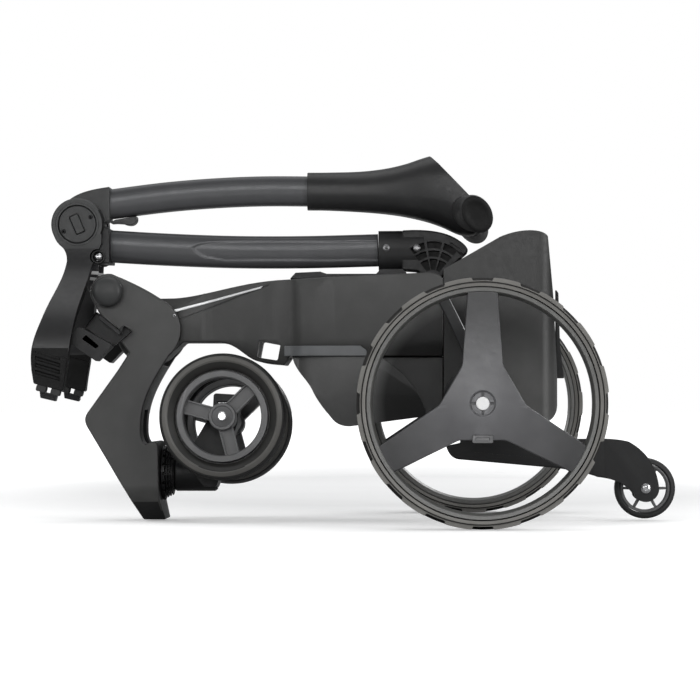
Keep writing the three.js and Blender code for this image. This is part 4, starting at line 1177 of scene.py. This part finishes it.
place(soften(mid_joint_pin(), 0.37), "joint_cap", "mid_joint_pin", "arm_plastic")


joint_keys = [soften(side_prism(key_slot(5.2, 11.6, 1.2), side, 38, 42.4), 0.8) for side in SIDES]
place(combine(joint_keys), "joint_keys", None, "arm_plastic", "lower_shaft")
joint_screws = [
    screw(MID_JOINT[0] + dx, MID_JOINT[1] + dz, SIDES[side] * 39.4, side, 2.9)
    for side in SIDES
    for dx, dz in ((17, 9), (-17, -9))
]
place(combine(joint_screws), "joint_screws", None, "black_plastic", "lower_shaft")


def lock_pin():
    e = 34
    half = [(0, e + 6), (2.6, e + 5.6), (4.8, e + 4.2), (6.0, e + 2.2), (6.3, e), (6.3, 0)]
    return lathe(mirrored(half), LOCK_PIN, 48)


place(lock_pin(), "lock_bolt", "frame_lock_pin", "steel")
BEZEL = [(6.9, 33.6), (6.9, 36.4), (8.2, 36.6), (9.4, 35.4), (9.4, 33.6)]
bezels = [ring(on_side(BEZEL, side), LOCK_PIN, 48) for side in SIDES]
place(combine(bezels), "lock_bezels", None, "black_plastic", "lower_shaft")


ARM_SIDE = (
    "M -535 361 Q -532 351 -524 345 Q -517 338 -517.5 326 C -521 300 -532 280 -540 254 "
    "C -546 236 -552 222 -552 204 Q -552 190 -548 174 L -512 165 "
    "L -506 202 C -502 250 -492 284 -486 318 Q -483 330 -474 350 L -474 362"
)
ARM_FRONT = (
    "M 34.4 374 L 40.4 374 L 40.4 350 C 44 318 60 306 84 284 C 108 262 124 240 124 210 L 124 160 L 108 160 "
    "L 108 212 C 106 236 92 252 72 268 C 52 284 38 300 34.4 326"
)


def bag_arm(side):
    front = prism([(SIDES[side] * y, z) for y, z in outline(ARM_FRONT)], -600, -420, "X")
    body = meet(front, prism(outline(ARM_SIDE), -140, 140))
    boss = lathe(on_side([(0, 34.4), (33, 34.4), (33, 38.8), (31.4, 40.4), (0, 40.4)], side), MID_JOINT)
    step = ring(on_side([(26.8, 39.4), (27.6, 39.4), (27.6, 45), (26.8, 45)], side), MID_JOINT)
    body = join(soften(body, 1.0, segments=4, merge=0.9), boss)
    return cut(body, drum(24.7, MID_JOINT, -60, 60), drum(9.6, LOCK_PIN, -60, 60), step)


for side in SIDES:
    # The arm's body takes the darker head plastic as painted shade, with the arm plastic kept on the boss;
    # the part low down is the black clamp, and the backward-facing faces are painted near black as painted
    # shade.
    arm = place(bag_arm(side), "upper_arm_" + side, "bag_arm_" + side, "head_plastic")
    repaint(arm, "arm_plastic", lambda p, n: p.z > 341 and abs(p.y) > 39)
    repaint(arm, "deep_black_and_painted_shade", lambda p, n: p.z < 214 or n.x > 0.6)


def arm_foot(side):
    """The clamp at the foot of a bag arm, ribbed like a cage."""
    shape = rounded([(-549, 214), (-507, 203), (-512, 163), (-548, 172.5), (-551, 190)], 3)
    body = side_prism(shape, side, 106, 126.5)
    tools = []
    for i in range(4):
        z = 176 + i * 8.5
        tools.append(side_prism([(-546, z + 9), (-516, z), (-516, z + 4), (-546, z + 13)], side, 124.2, 130))
    return cut(body, *tools)


def pad(x0, z0, x1, z1, side):
    """A soft pad between two points, rounded all over."""
    d = Vector((x1 - x0, z1 - z0)).normalized()
    n = Vector((-d.y, d.x)) * 4
    shape = [(x0 - n.x, z0 - n.y), (x1 - n.x, z1 - n.y), (x1 + n.x, z1 + n.y), (x0 + n.x, z0 + n.y)]
    return soften(side_prism(rounded(shape, 2.5), side, 108, 126), 2.2, segments=4)


for side in SIDES:
    place(soften(arm_foot(side), 1.0), "arm_foot_" + side, None, "deep_black_and_painted_shade", "lower_shaft")
    pads = combine([pad(-545, 168, -533, 165, side), pad(-527, 163.5, -516, 160.5, side)])
    place(pads, "cradle_pads_" + side, "arm_cradle_" + side, "pad")
    tab = side_prism(rounded([(-541, 164), (-519, 158), (-521, 150.5), (-540, 155)], 1.5), side, 112, 124)
    place(soften(tab, 0.9), "strap_tab_" + side, None, "strap", "lower_shaft")
    for name, z in (("a", 160.2), ("b", 156.4)):
        y = SIDES[side] * 124.2
        rib = sweep(circle(0, 0, 0.9, 12), [(-540, y, z + 1.8), (-520, y, z - 3.2)], across=(0, 0, 1))
        place(rib, f"tab_rib_{name}_{side}", None, "black_plastic", "lower_shaft")


STRAP_LINE = [
    (-485, -30, 324), (-486, -28, 308), (-488, -16, 296), (-488, 0, 293),
    (-488, 16, 296), (-486, 28, 308), (-485, 30, 324),
]


def strap(section, low=0.0, high=1.0):
    line = spline(STRAP_LINE, 14)
    last = len(line) - 1
    return sweep(section, line[round(low * last) : round(high * last) + 1], across=(1, 0, 0))


def webbing(width, thickness):
    """A flat strap's section with thick sewn edges."""
    w, t = width / 2, thickness / 2
    low = [(-w, -t), (-w + 1.5, -t), (-w + 2.2, -t * 0.7), (w - 2.2, -t * 0.7), (w - 1.5, -t), (w, -t)]
    return rounded(low + [(x, -y) for x, y in reversed(low)], 0.3, 2)


place(strap(webbing(12, 4)), "elastic_strap", "bag_strap", "strap", shade=False)
for name, at in (("a", 0.10), ("b", 0.17), ("c", 0.80), ("d", 0.87)):
    band = strap(rounded(rectangle(-6.3, -2.4, 6.3, 2.4), 0.8), at, at + 0.03)
    place(band, "strap_band_" + name, None, "strap_band", "lower_shaft")


# ---------------------------------------------------------------- upper shaft
upper_tube = sweep(tube_section(16, 19), spline(UPPER_TUBE, 30))
place(upper_tube, "upper_shaft_tube", "upper_tube", "tube", shade=False)


def mid_joint_upper():
    shape = outline("M -466 380.5 L -466 423 C -488 420 -512 416 -524 400 A -505 374 31 126 366")
    body = prism(shape, -19.6, 19.6)
    room = sweep(tube_section(16.4, 19.4), spline([(-475, 0, 400.4), (-440, 0, 405), (-405, 0, 409.5)], 8))
    soften(body, 2.0, segments=5, where=lambda p: p.z > 398)
    soften(body, 0.44, angle=50)
    return cut(body, room, drum(9.4, MID_JOINT, -60, 60))


place(mid_joint_upper(), "mid_knuckle", "mid_joint_upper", "arm_plastic")


# cross sections of the handle head: x, bottom, top, half width
HEAD = [
    (-216, 393.5, 441.5, 20.5), (-190, 393.2, 441.6, 21.2), (-150, 391.2, 442.6, 24.5),
    (-118, 388.6, 446, 29.5), (-92, 385, 451.5, 35.5), (-67, 379.5, 459.5, 42.5), (-46, 372.5, 464, 47),
    (-26, 363.5, 460, 49.5), (-12, 360.5, 448, 49.5), (-3, 363, 432, 47), (1.5, 371, 412, 42),
]


def handle_head(count=64):
    rows = []
    for x, bottom, top, width in spline(HEAD, 6):
        row = []
        power = 2.5 + 1.1 * smooth(-150, -60, x)
        mid, half = (bottom + top) / 2, (top - bottom) / 2
        for i in range(count):
            t = 2 * math.pi * i / count
            c, s = math.cos(t), math.sin(t)
            y = math.copysign(abs(c) ** (2 / power), c) * width
            z = math.copysign(abs(s) ** (2 / power), s)
            pull = 1 - 0.10 * smooth(-0.1, -1.0, z) if z < 0 else 1 - 0.06 * smooth(0.3, 1.0, z)
            row.append((x, y * pull, mid + z * half))
        rows.append(row)
    body = skin(rows)
    chop(body, (-35, 0, 434), (44, 0, 42))
    room = sweep(tube_section(16.4, 19.4), spline([(-260, 0, 417.9), (-228, 0, 417.9), (-197, 0, 417.5)], 8))
    soften(body, 0.7, angle=40, segments=4, merge=0.4)
    recess = on_console(prism(rounded(rectangle(-26, -39, 26, 39), 7), -4, 30, "Z"))
    return cut(body, room, recess, *[grip_solid(side, 0.4) for side in SIDES])


CONSOLE_NORMAL = Vector((44, 0, 42)).normalized()


def on_console(obj, along=0.0):
    """Moves a piece drawn flat at the origin onto the console's slope."""
    down = Vector((42, 0, -44)).normalized()
    across = CONSOLE_NORMAL.cross(down)
    basis = Matrix((down, across, CONSOLE_NORMAL)).transposed().to_4x4()
    centre = Matrix.Translation(Vector((-35, 0, 434)) * MM)
    obj.data.transform(centre @ basis @ Matrix.Translation((along * MM, 0, 0)))
    return obj


def grip_solid(side, extra=0.0, stations=((0, 0.9), (1, 1.0))):
    """The oval grip. Each station gives a share of its length and the size there."""
    s = SIDES[side]
    rows = []
    to_head = (
        Matrix.Translation((-14, s * (44 - extra), 386))
        @ Matrix.Rotation(s * -0.134, 4, "Z")
        @ Matrix.Rotation(s * -0.067, 4, "X")
        @ Matrix.Rotation(-0.55, 4, "Y")
    )
    for share, size in stations:
        a, b = (19 + extra) * size, (25 + extra) * size
        rows.append([tuple(to_head @ Vector((x * a, s * 84 * share, z * b))) for x, z in circle(0, 0, 1, 72)])
    return skin(rows)


# the grip swells from its collar, with grooves near both ends and a dished, softly rounded end
GRIP = [
    (0.0, 0.90), (0.10, 0.905), (0.105, 0.885), (0.125, 0.885), (0.13, 0.91), (0.17, 0.915),
    (0.175, 0.89), (0.195, 0.89), (0.20, 0.925), (0.35, 0.955), (0.5, 0.975), (0.7, 0.99),
    (0.86, 0.995), (0.885, 0.975), (0.9, 0.975), (0.92, 0.99), (0.96, 0.97), (0.985, 0.93),
    (0.995, 0.86), (0.998, 0.70), (0.985, 0.6), (0.98, 0.3),
]


place(handle_head(), "handle_body", "handle_head", "head_plastic")
for side in SIDES:
    grip = place(grip_solid(side, stations=GRIP), "hand_grip_" + side, "grip_" + side, "rubber")
    # the grip's end faces are painted near black
    repaint(grip, "deep_black_and_painted_shade", lambda p, n: abs(n.y) > 0.72 and abs(p.y) > 90)

glass = prism(rounded(rectangle(-25.6, -38.6, 25.6, 38.6), 6.6), -3.6, 0.4, "Z")
cut(glass, prism(circle(9, 0, 15.4, 64), -20, 20, "Z"))
place(soften(on_console(glass), 0.5), "console_glass", "console", "screen")
rim = prism(rounded(rectangle(-22.5, -14, -8.5, 14), 2), 0.3, 0.7, "Z")
cut(rim, prism(rounded(rectangle(-21.7, -13.2, -9.3, 13.2), 1.5), 0, 2, "Z"))
place(on_console(rim), "display_frame", None, "indicator", "upper_shaft")
marks = [prism(rectangle(-19.5, y, -11.5, y + 2.4), 0.3, 0.65, "Z") for y in (-10, -5.6, -1.2, 3.2, 7.6)]
place(on_console(combine(marks)), "charge_bars", None, "indicator", "upper_shaft")
ticks = [
    prism(turned_outline(rectangle(17, -0.35, 19.4, 0.35), 9, 0, math.radians(a)), 0.3, 0.6, "Z")
    for a in range(-130, 131, 20)
]
place(on_console(combine(ticks)), "dial_ticks", None, "indicator", "upper_shaft")


def knurled(radius, count=40, depth=0.5):
    points = []
    for i in range(2 * count):
        r, t = radius - depth * (i % 2), math.pi * i / count
        points.append((r * math.cos(t), r * math.sin(t)))
    return points


dial = cut(prism([(x + 9, y) for x, y in knurled(15)], -3, 2, "Z"), prism(circle(9, 0, 8.4), -10, 10, "Z"))
place(soften(on_console(dial), 0.35), "dial_ring", "speed_dial", "rubber")
button = prism(circle(9, 0, 8), -1.5, 2.4, "Z")
dish = prism(circle(9, 0, 3.2, 32), 1.9, 4, "Z")
place(soften(on_console(cut(button, dish)), 0.5), "power_key", "power_button", "bright_trim")


LATCH = (
    "M -465.5 378.9 L -460 381.6 L -447 383.8 L -433 386 Q -431 378 -438 375 "
    "Q -444 373.5 -450 376.5 L -459 377 L -465.5 376.6"
)
place(soften(prism(outline(LATCH), -11, 11), 0.9), "latch", "latch_lever", "head_plastic")


# ---------------------------------------------------------------- front leg
LEG_SIDE = (
    "M -421 2 L -489 116 Q -497 128 -490 137 L -452 190 L -438 212 L -476 262 "
    "A -464 288 23 -149 -280.7 C -440 302 -424 294 -408 283.5 A -415 240 42 71.6 -49.8 "
    "C -414 168 -424 145 -423 114 Q -423 102 -417 97 Q -402 106 -401 93 L -400 27 L -393 2"
)


def front_leg():
    inner, outer = 41, 53
    web = chop(prism(outline(LEG_SIDE), -inner, inner), (-450, 0, 196), (-0.35, 0, 1))
    body = join(web, *[side_prism(outline(LEG_SIDE), side, inner - 0.01, outer) for side in SIDES])
    cut(
        body,
        drum(45, LEG_PIVOT, -inner, inner),
        prism([(-470, 330), (-462, 240), (-415, 196), (-360, 196), (-340, 330)], -inner, inner),
        prism([(-474, 126), (-446, 166), (-434, 160), (-432, 104), (-427, 60)], -34, 34),
        drum(9.4, LEG_PIVOT, -51, 51),
        rod(12.4, 60, -424, -380),
        block((-436, -20, 90), (-415, 20, 140)),
    )
    chop(body, (-440, -53, 46), (0, -1, -0.2), True)
    chop(body, (-440, -49.5, 26), (0, -1, -0.62), True)
    return body


leg = place(soften(front_leg(), 2.0), "leg_body", "front_leg", "shell")
# The inner web is black; the faces that look down or backwards are painted black as painted shade.
repaint(leg, "black_plastic", lambda p, n: abs(p.y) < 40.4 or (n.x > 0.35 and abs(n.y) < 0.6) or n.z < -0.5)


def leg_knob(side):
    profile = [
        (0, 0), (16.4, 0), (17.4, 0.8), (17.4, 2.2), (18.9, 3.2), (19, 5), (19, 13), (18.4, 15.4),
        (16.6, 17.8), (13.4, 19.4), (9, 20.4), (4, 20.9), (0, 21),
    ]
    return lathe(on_side([(r, 53.4 + y) for r, y in profile], side), KNOB)


def lower_support(side):
    plate = [(-478, 263), (-492, 243), (-459, 220), (-452, 222), (-433, 239), (-444, 246), (-449, 240)]
    tray = rounded([(-512, 226), (-495, 243), (-454, 220.5), (-474, 200)], 2.5)
    slot = rounded([(-487, 233), (-492, 228), (-475, 216), (-471, 219.5)], 1.2)
    body = join(side_prism(rounded(plate, 1.5), side, 53.4, 66), side_prism(tray, side, 62, 96))
    strip = rounded([(-473, 259), (-476, 255), (-449, 233.5), (-446, 237)], 0.8)
    cut(body, side_prism(slot, side, 50, 100), side_prism(strip, side, 64, 70))
    return soften(body, 0.45, merge=0.4)


def tray_pad(side):
    shape = rounded([(-506.4, 226), (-495, 237.4), (-460, 220), (-474, 205.2)], 2)
    slot = rounded([(-487.6, 233.6), (-492.6, 228), (-475, 215.4), (-470.4, 219.5)], 1.2)
    pad_body = cut(side_prism(shape, side, 93.6, 95.4), side_prism(slot, side, 90, 99))
    return soften(pad_body, 0.3, merge=0.9)


place_pair(leg_knob, "knob", "leg_knob", "arm_plastic")
place_pair(lower_support, "bag_rest", "lower_bag_support", "black_plastic")
place_pair(tray_pad, "rest_pad", None, "rubber", "leg")
leg_screws = [screw(-381, 258, SIDES[side] * 52.2, side, 2.4) for side in SIDES]
place(combine(leg_screws), "leg_screws", None, "steel", "leg")


# ---------------------------------------------------------------- castor
CASTOR_MID = 84


def nose_collar():
    low = -399.6
    core = rod(24, 60, low, -384.4)
    parts = [rod(34, 60, low, low + 4.4)]
    parts += [rod(31 - 1.4 * i, 60, low + 6.2 + i * 3.2, low + 7.6 + i * 3.2) for i in range(3)]
    body = soften(cut(join(core, *parts), rod(12.4, 60, -430, -370)), 0.5)
    tools = []
    for i in range(18):
        t = 2 * math.pi * i / 18
        tool = block((low + 1.6, 25, -2), (-380, 40, 2))
        tool.data.transform(Matrix.Translation((0, 0, 60 * MM)) @ Matrix.Rotation(t, 4, "X"))
        tools.append(tool)
    return cut(body, *tools)


place(nose_collar(), "swivel_collar", "nose_collar", "black_plastic")


def castor_fork():
    stem = rod(12, 60, -420, -370)
    hub = lathe([(0, -384), (21, -384), (23, -382), (23, -333), (21, -330), (0, -330)], (0, 60), 64, axis="X")
    arm = outline("M -372 74 L -346 42 L -330 42 L -304 122 L -301 158 L -334 160 L -335 138")
    boss = lathe([(0, -60), (13, -60), (14, -59), (14, 59), (13, 60), (0, 60)], CASTOR_AXLE, 48)
    body = soften(join(stem, hub, prism(rounded(arm, 4), -24, 24), boss), 0.45, merge=0.9)
    return cut(body, drum(6.4, CASTOR_AXLE, -80, 80), block((-330, -25, 141), (-306, -19, 150)))


def lean(obj):
    """Sets a castor piece at the castor's rest lean."""
    obj.data.transform(CASTOR_LEAN)
    return obj


place(lean(castor_fork()), "swivel_fork", "castor_fork", "black_plastic")


def castor_axle():
    half = [(0, 106), (4.6, 106), (6, 104.6), (6, 0)]
    return lathe(mirrored(half), CASTOR_AXLE, 40)


pin_piece = place(lean(castor_axle()), "castor_pin", "castor_axle", "steel")
repaint(pin_piece, "white_cap", lambda p, n: abs(p.y) > 104)
lock = block((-328, -28, 142.5), (-308, -20, 148.5))
grooves = [block((x, -30, 140), (x + 1.6, -27, 150)) for x in (-324, -320, -316)]
place(lean(soften(cut(lock, *grooves), 0.7)), "swivel_key", "swivel_lock", "bright_trim")


def front_tyre(side):
    y = SIDES[side] * CASTOR_MID
    half = [
        (57.4, 8), (58.8, 8), (59, 12.2), (59.8, 12.9), (67.6, 18.6), (68.6, 19.4), (69.8, 20),
        (72.6, 19.2), (74.6, 18.2), (75, 17.2), (76.2, 17.0), (76.8, 16.0), (78.2, 12), (78.6, 8.4),
        (77.9, 7.8), (77.9, 6.6), (78.9, 6), (79, 2.6), (78.2, 2), (78.2, 0),
    ]
    return ring([(r, y + d) for r, d in mirrored(half)], CASTOR_AXLE, 160)


def front_rim(side):
    """A hoop and three channelled arms around a hub."""
    y = SIDES[side] * CASTOR_MID
    half = [(57, 15), (56.2, 16.8), (49.6, 16.8), (48.4, 15.4), (48.2, 9), (49.4, 7.6), (49.4, 0)]
    hoop = ring([(57, y)] + [(r, y + d) for r, d in mirrored(half)], CASTOR_AXLE, 128)
    arms = []
    for i in range(3):
        t = math.radians(45 + 120 * i)
        for low, high, depth in ((-8.6, 8.6, 4.5), (-8.8, -7.0, 9), (7.0, 8.8, 9)):
            bar = turned_outline(rectangle(10, low, 53, high), *CASTOR_AXLE, t)
            arms.append(prism(bar, y - depth, y + depth))
    hub_end = [(0, -14.4), (12, -14.4), (13.4, -15.6), (16, -15.6), (17, -14.4)]
    hub = lathe(hub_end + [(r, -d) for r, d in reversed(hub_end)], CASTOR_AXLE, 64)
    hub.data.transform(Matrix.Translation((0, y * MM, 0)))
    return cut(join(hoop, hub, *arms), drum(6.4, CASTOR_AXLE, y - 40, y + 40))


def from_castor_axle(p):
    """Distance from the castor axle, in the castor's own upright position."""
    x, z = CASTOR_AXLE
    upright = CASTOR_LEAN.inverted() @ (p * MM) / MM
    return math.hypot(upright.x - x, upright.z - z)


def on_castor_wall(p, n):
    return abs(n.y) > 0.75 and 68 < from_castor_axle(p) < 74.7


def in_castor_cone(p, n):
    return from_castor_axle(p) < 68


def hub_cap(side):
    profile = [(4.4, 97), (12.4, 97), (12.4, 99), (9, 101.4), (5.6, 102.4), (4.4, 102.4)]
    return ring(on_side(profile, side), CASTOR_AXLE, 64)


for side in SIDES:
    tyre = place(lean(front_tyre(side)), "castor_tyre_" + side, "front_tyre_" + side, "castor_rubber")
    # the side wall ring gets a painted highlight and the groove painted shading
    repaint(tyre, "castor_wall_painted_highlight", on_castor_wall)
    repaint(tyre, "castor_groove_painted_shading", in_castor_cone)
    place(lean(soften(front_rim(side), 0.17)), "castor_rim_" + side, "front_rim_" + side, "wheel_light")
    place(lean(hub_cap(side)), "castor_cap_" + side, None, "wheel_light", "front_wheel_" + side)


# ---------------------------------------------------------------- floor, light and camera
def floor():
    mesh = bpy.data.meshes.new("floor")
    mesh.from_pydata([(x, y, 0) for x, y in rectangle(-40, -40, 40, 40)], [], [(0, 1, 2, 3)])
    obj = bpy.data.objects.new("floor", mesh)
    bpy.context.scene.collection.objects.link(obj)
    s = Shader(bpy.data.materials.new("studio_floor"))
    tint = s.add("TexNoise", {"Vector": (s.add("TexCoord"), "Object"), "Scale": 3.0})
    tone = s.ramp((tint, "Fac"), [(0.3, 0.80), (0.7, 0.82)])
    diffuse = s.add("BsdfDiffuse", {"Color": (tone, "Color")})
    stretched = s.add("VectorMath", {0: (s.add("TexCoord"), "Object"), 1: (1, 0.6, 1)}, operation="MULTIPLY")
    away = s.add("VectorMath", {0: (stretched, 0), 1: (0.05, 0.8, 0)}, operation="DISTANCE")
    far = s.span((away, "Value"), 0.5, 1.6, 0.06, 1.0)
    glow = s.add("Emission", {"Color": (1, 1, 1, 1), "Strength": (far, 0)})
    seen = s.add("AddShader", {0: (diffuse, 0), 1: (glow, 0)})
    bounce = s.add("BsdfDiffuse", {"Color": (0.42, 0.42, 0.42, 1)})
    path = s.add("LightPath")
    both = s.add("MixShader", {0: (path, "Is Camera Ray"), 1: (bounce, 0), 2: (seen, 0)})
    mesh.materials.append(s.output(both))


floor()


def world():
    """White to the camera; as light, dim and brighter towards the front and the top."""
    s = Shader(bpy.data.worlds.new("studio"))
    bpy.context.scene.world = s.owner
    split = s.add("SeparateXYZ", {0: (s.add("TexCoord"), "Generated")})
    height = s.span((split, "Z"), -0.15, 0.5, 0.05, 0.45)
    front = s.span((split, "Y"), -1.0, -0.1, 0.35, 1.0)
    strength = s.add("Math", {0: (height, 0), 1: (front, 0)}, operation="MULTIPLY")
    dim = s.add("Background", {"Strength": (strength, 0), "Color": (0.97, 0.985, 1.0, 1)})
    white = s.add("Background", {"Strength": 1.0, "Color": (1, 1, 1, 1)})
    path = s.add("LightPath")
    s.output(s.add("MixShader", {0: (path, "Is Camera Ray"), 1: (dim, 0), 2: (white, 0)}), "OutputWorld")


world()


def softbox(name, location, target, width, height, watts):
    data = bpy.data.lights.new(name, "AREA")
    data.shape = "RECTANGLE"
    data.size, data.size_y = width, height
    data.energy = watts
    obj = bpy.data.objects.new(name, data)
    bpy.context.scene.collection.objects.link(obj)
    obj.location = location
    obj.rotation_euler = (Vector(target) - Vector(location)).to_track_quat("-Z", "Y").to_euler()


# name, place, aim, width, height (metres), watts
LIGHTS = [
    ("overhead", (-0.1, 0.1, 2.2), (-0.1, 0, 0), 2.4, 1.4, 12),
    ("front_high", (-0.3, -3.4, 0.85), (-0.1, 0, 0.2), 2.6, 0.7, 30),
    ("front_left", (-2.6, -2.4, 0.9), (-0.2, 0, 0.2), 0.5, 1.8, 14),
    ("front_right", (2.2, -2.2, 0.9), (-0.1, 0, 0.2), 0.4, 1.6, 32),
    ("rim_back", (1.2, 2.2, 1.4), (0, 0, 0.2), 1.2, 1.2, 22),
    ("back_left", (-2.0, 2.4, 1.0), (-0.1, 0, 0.2), 1.4, 1.2, 26),
]
for row in LIGHTS:
    softbox(*row)

camera_data = bpy.data.cameras.new("camera")
camera_data.sensor_width = 36
camera_data.lens = 145.8
camera = bpy.data.objects.new("camera", camera_data)
bpy.context.scene.collection.objects.link(camera)
camera.location = TO_FRAME + Vector((-0.073, -3.6, 0.148))
aim = TO_FRAME + Vector((-0.162, 0, 0.216)) - camera.location
camera.rotation_euler = aim.to_track_quat("-Z", "Y").to_euler()
bpy.context.scene.camera = camera
bpy.context.scene.view_settings.view_transform = "Standard"
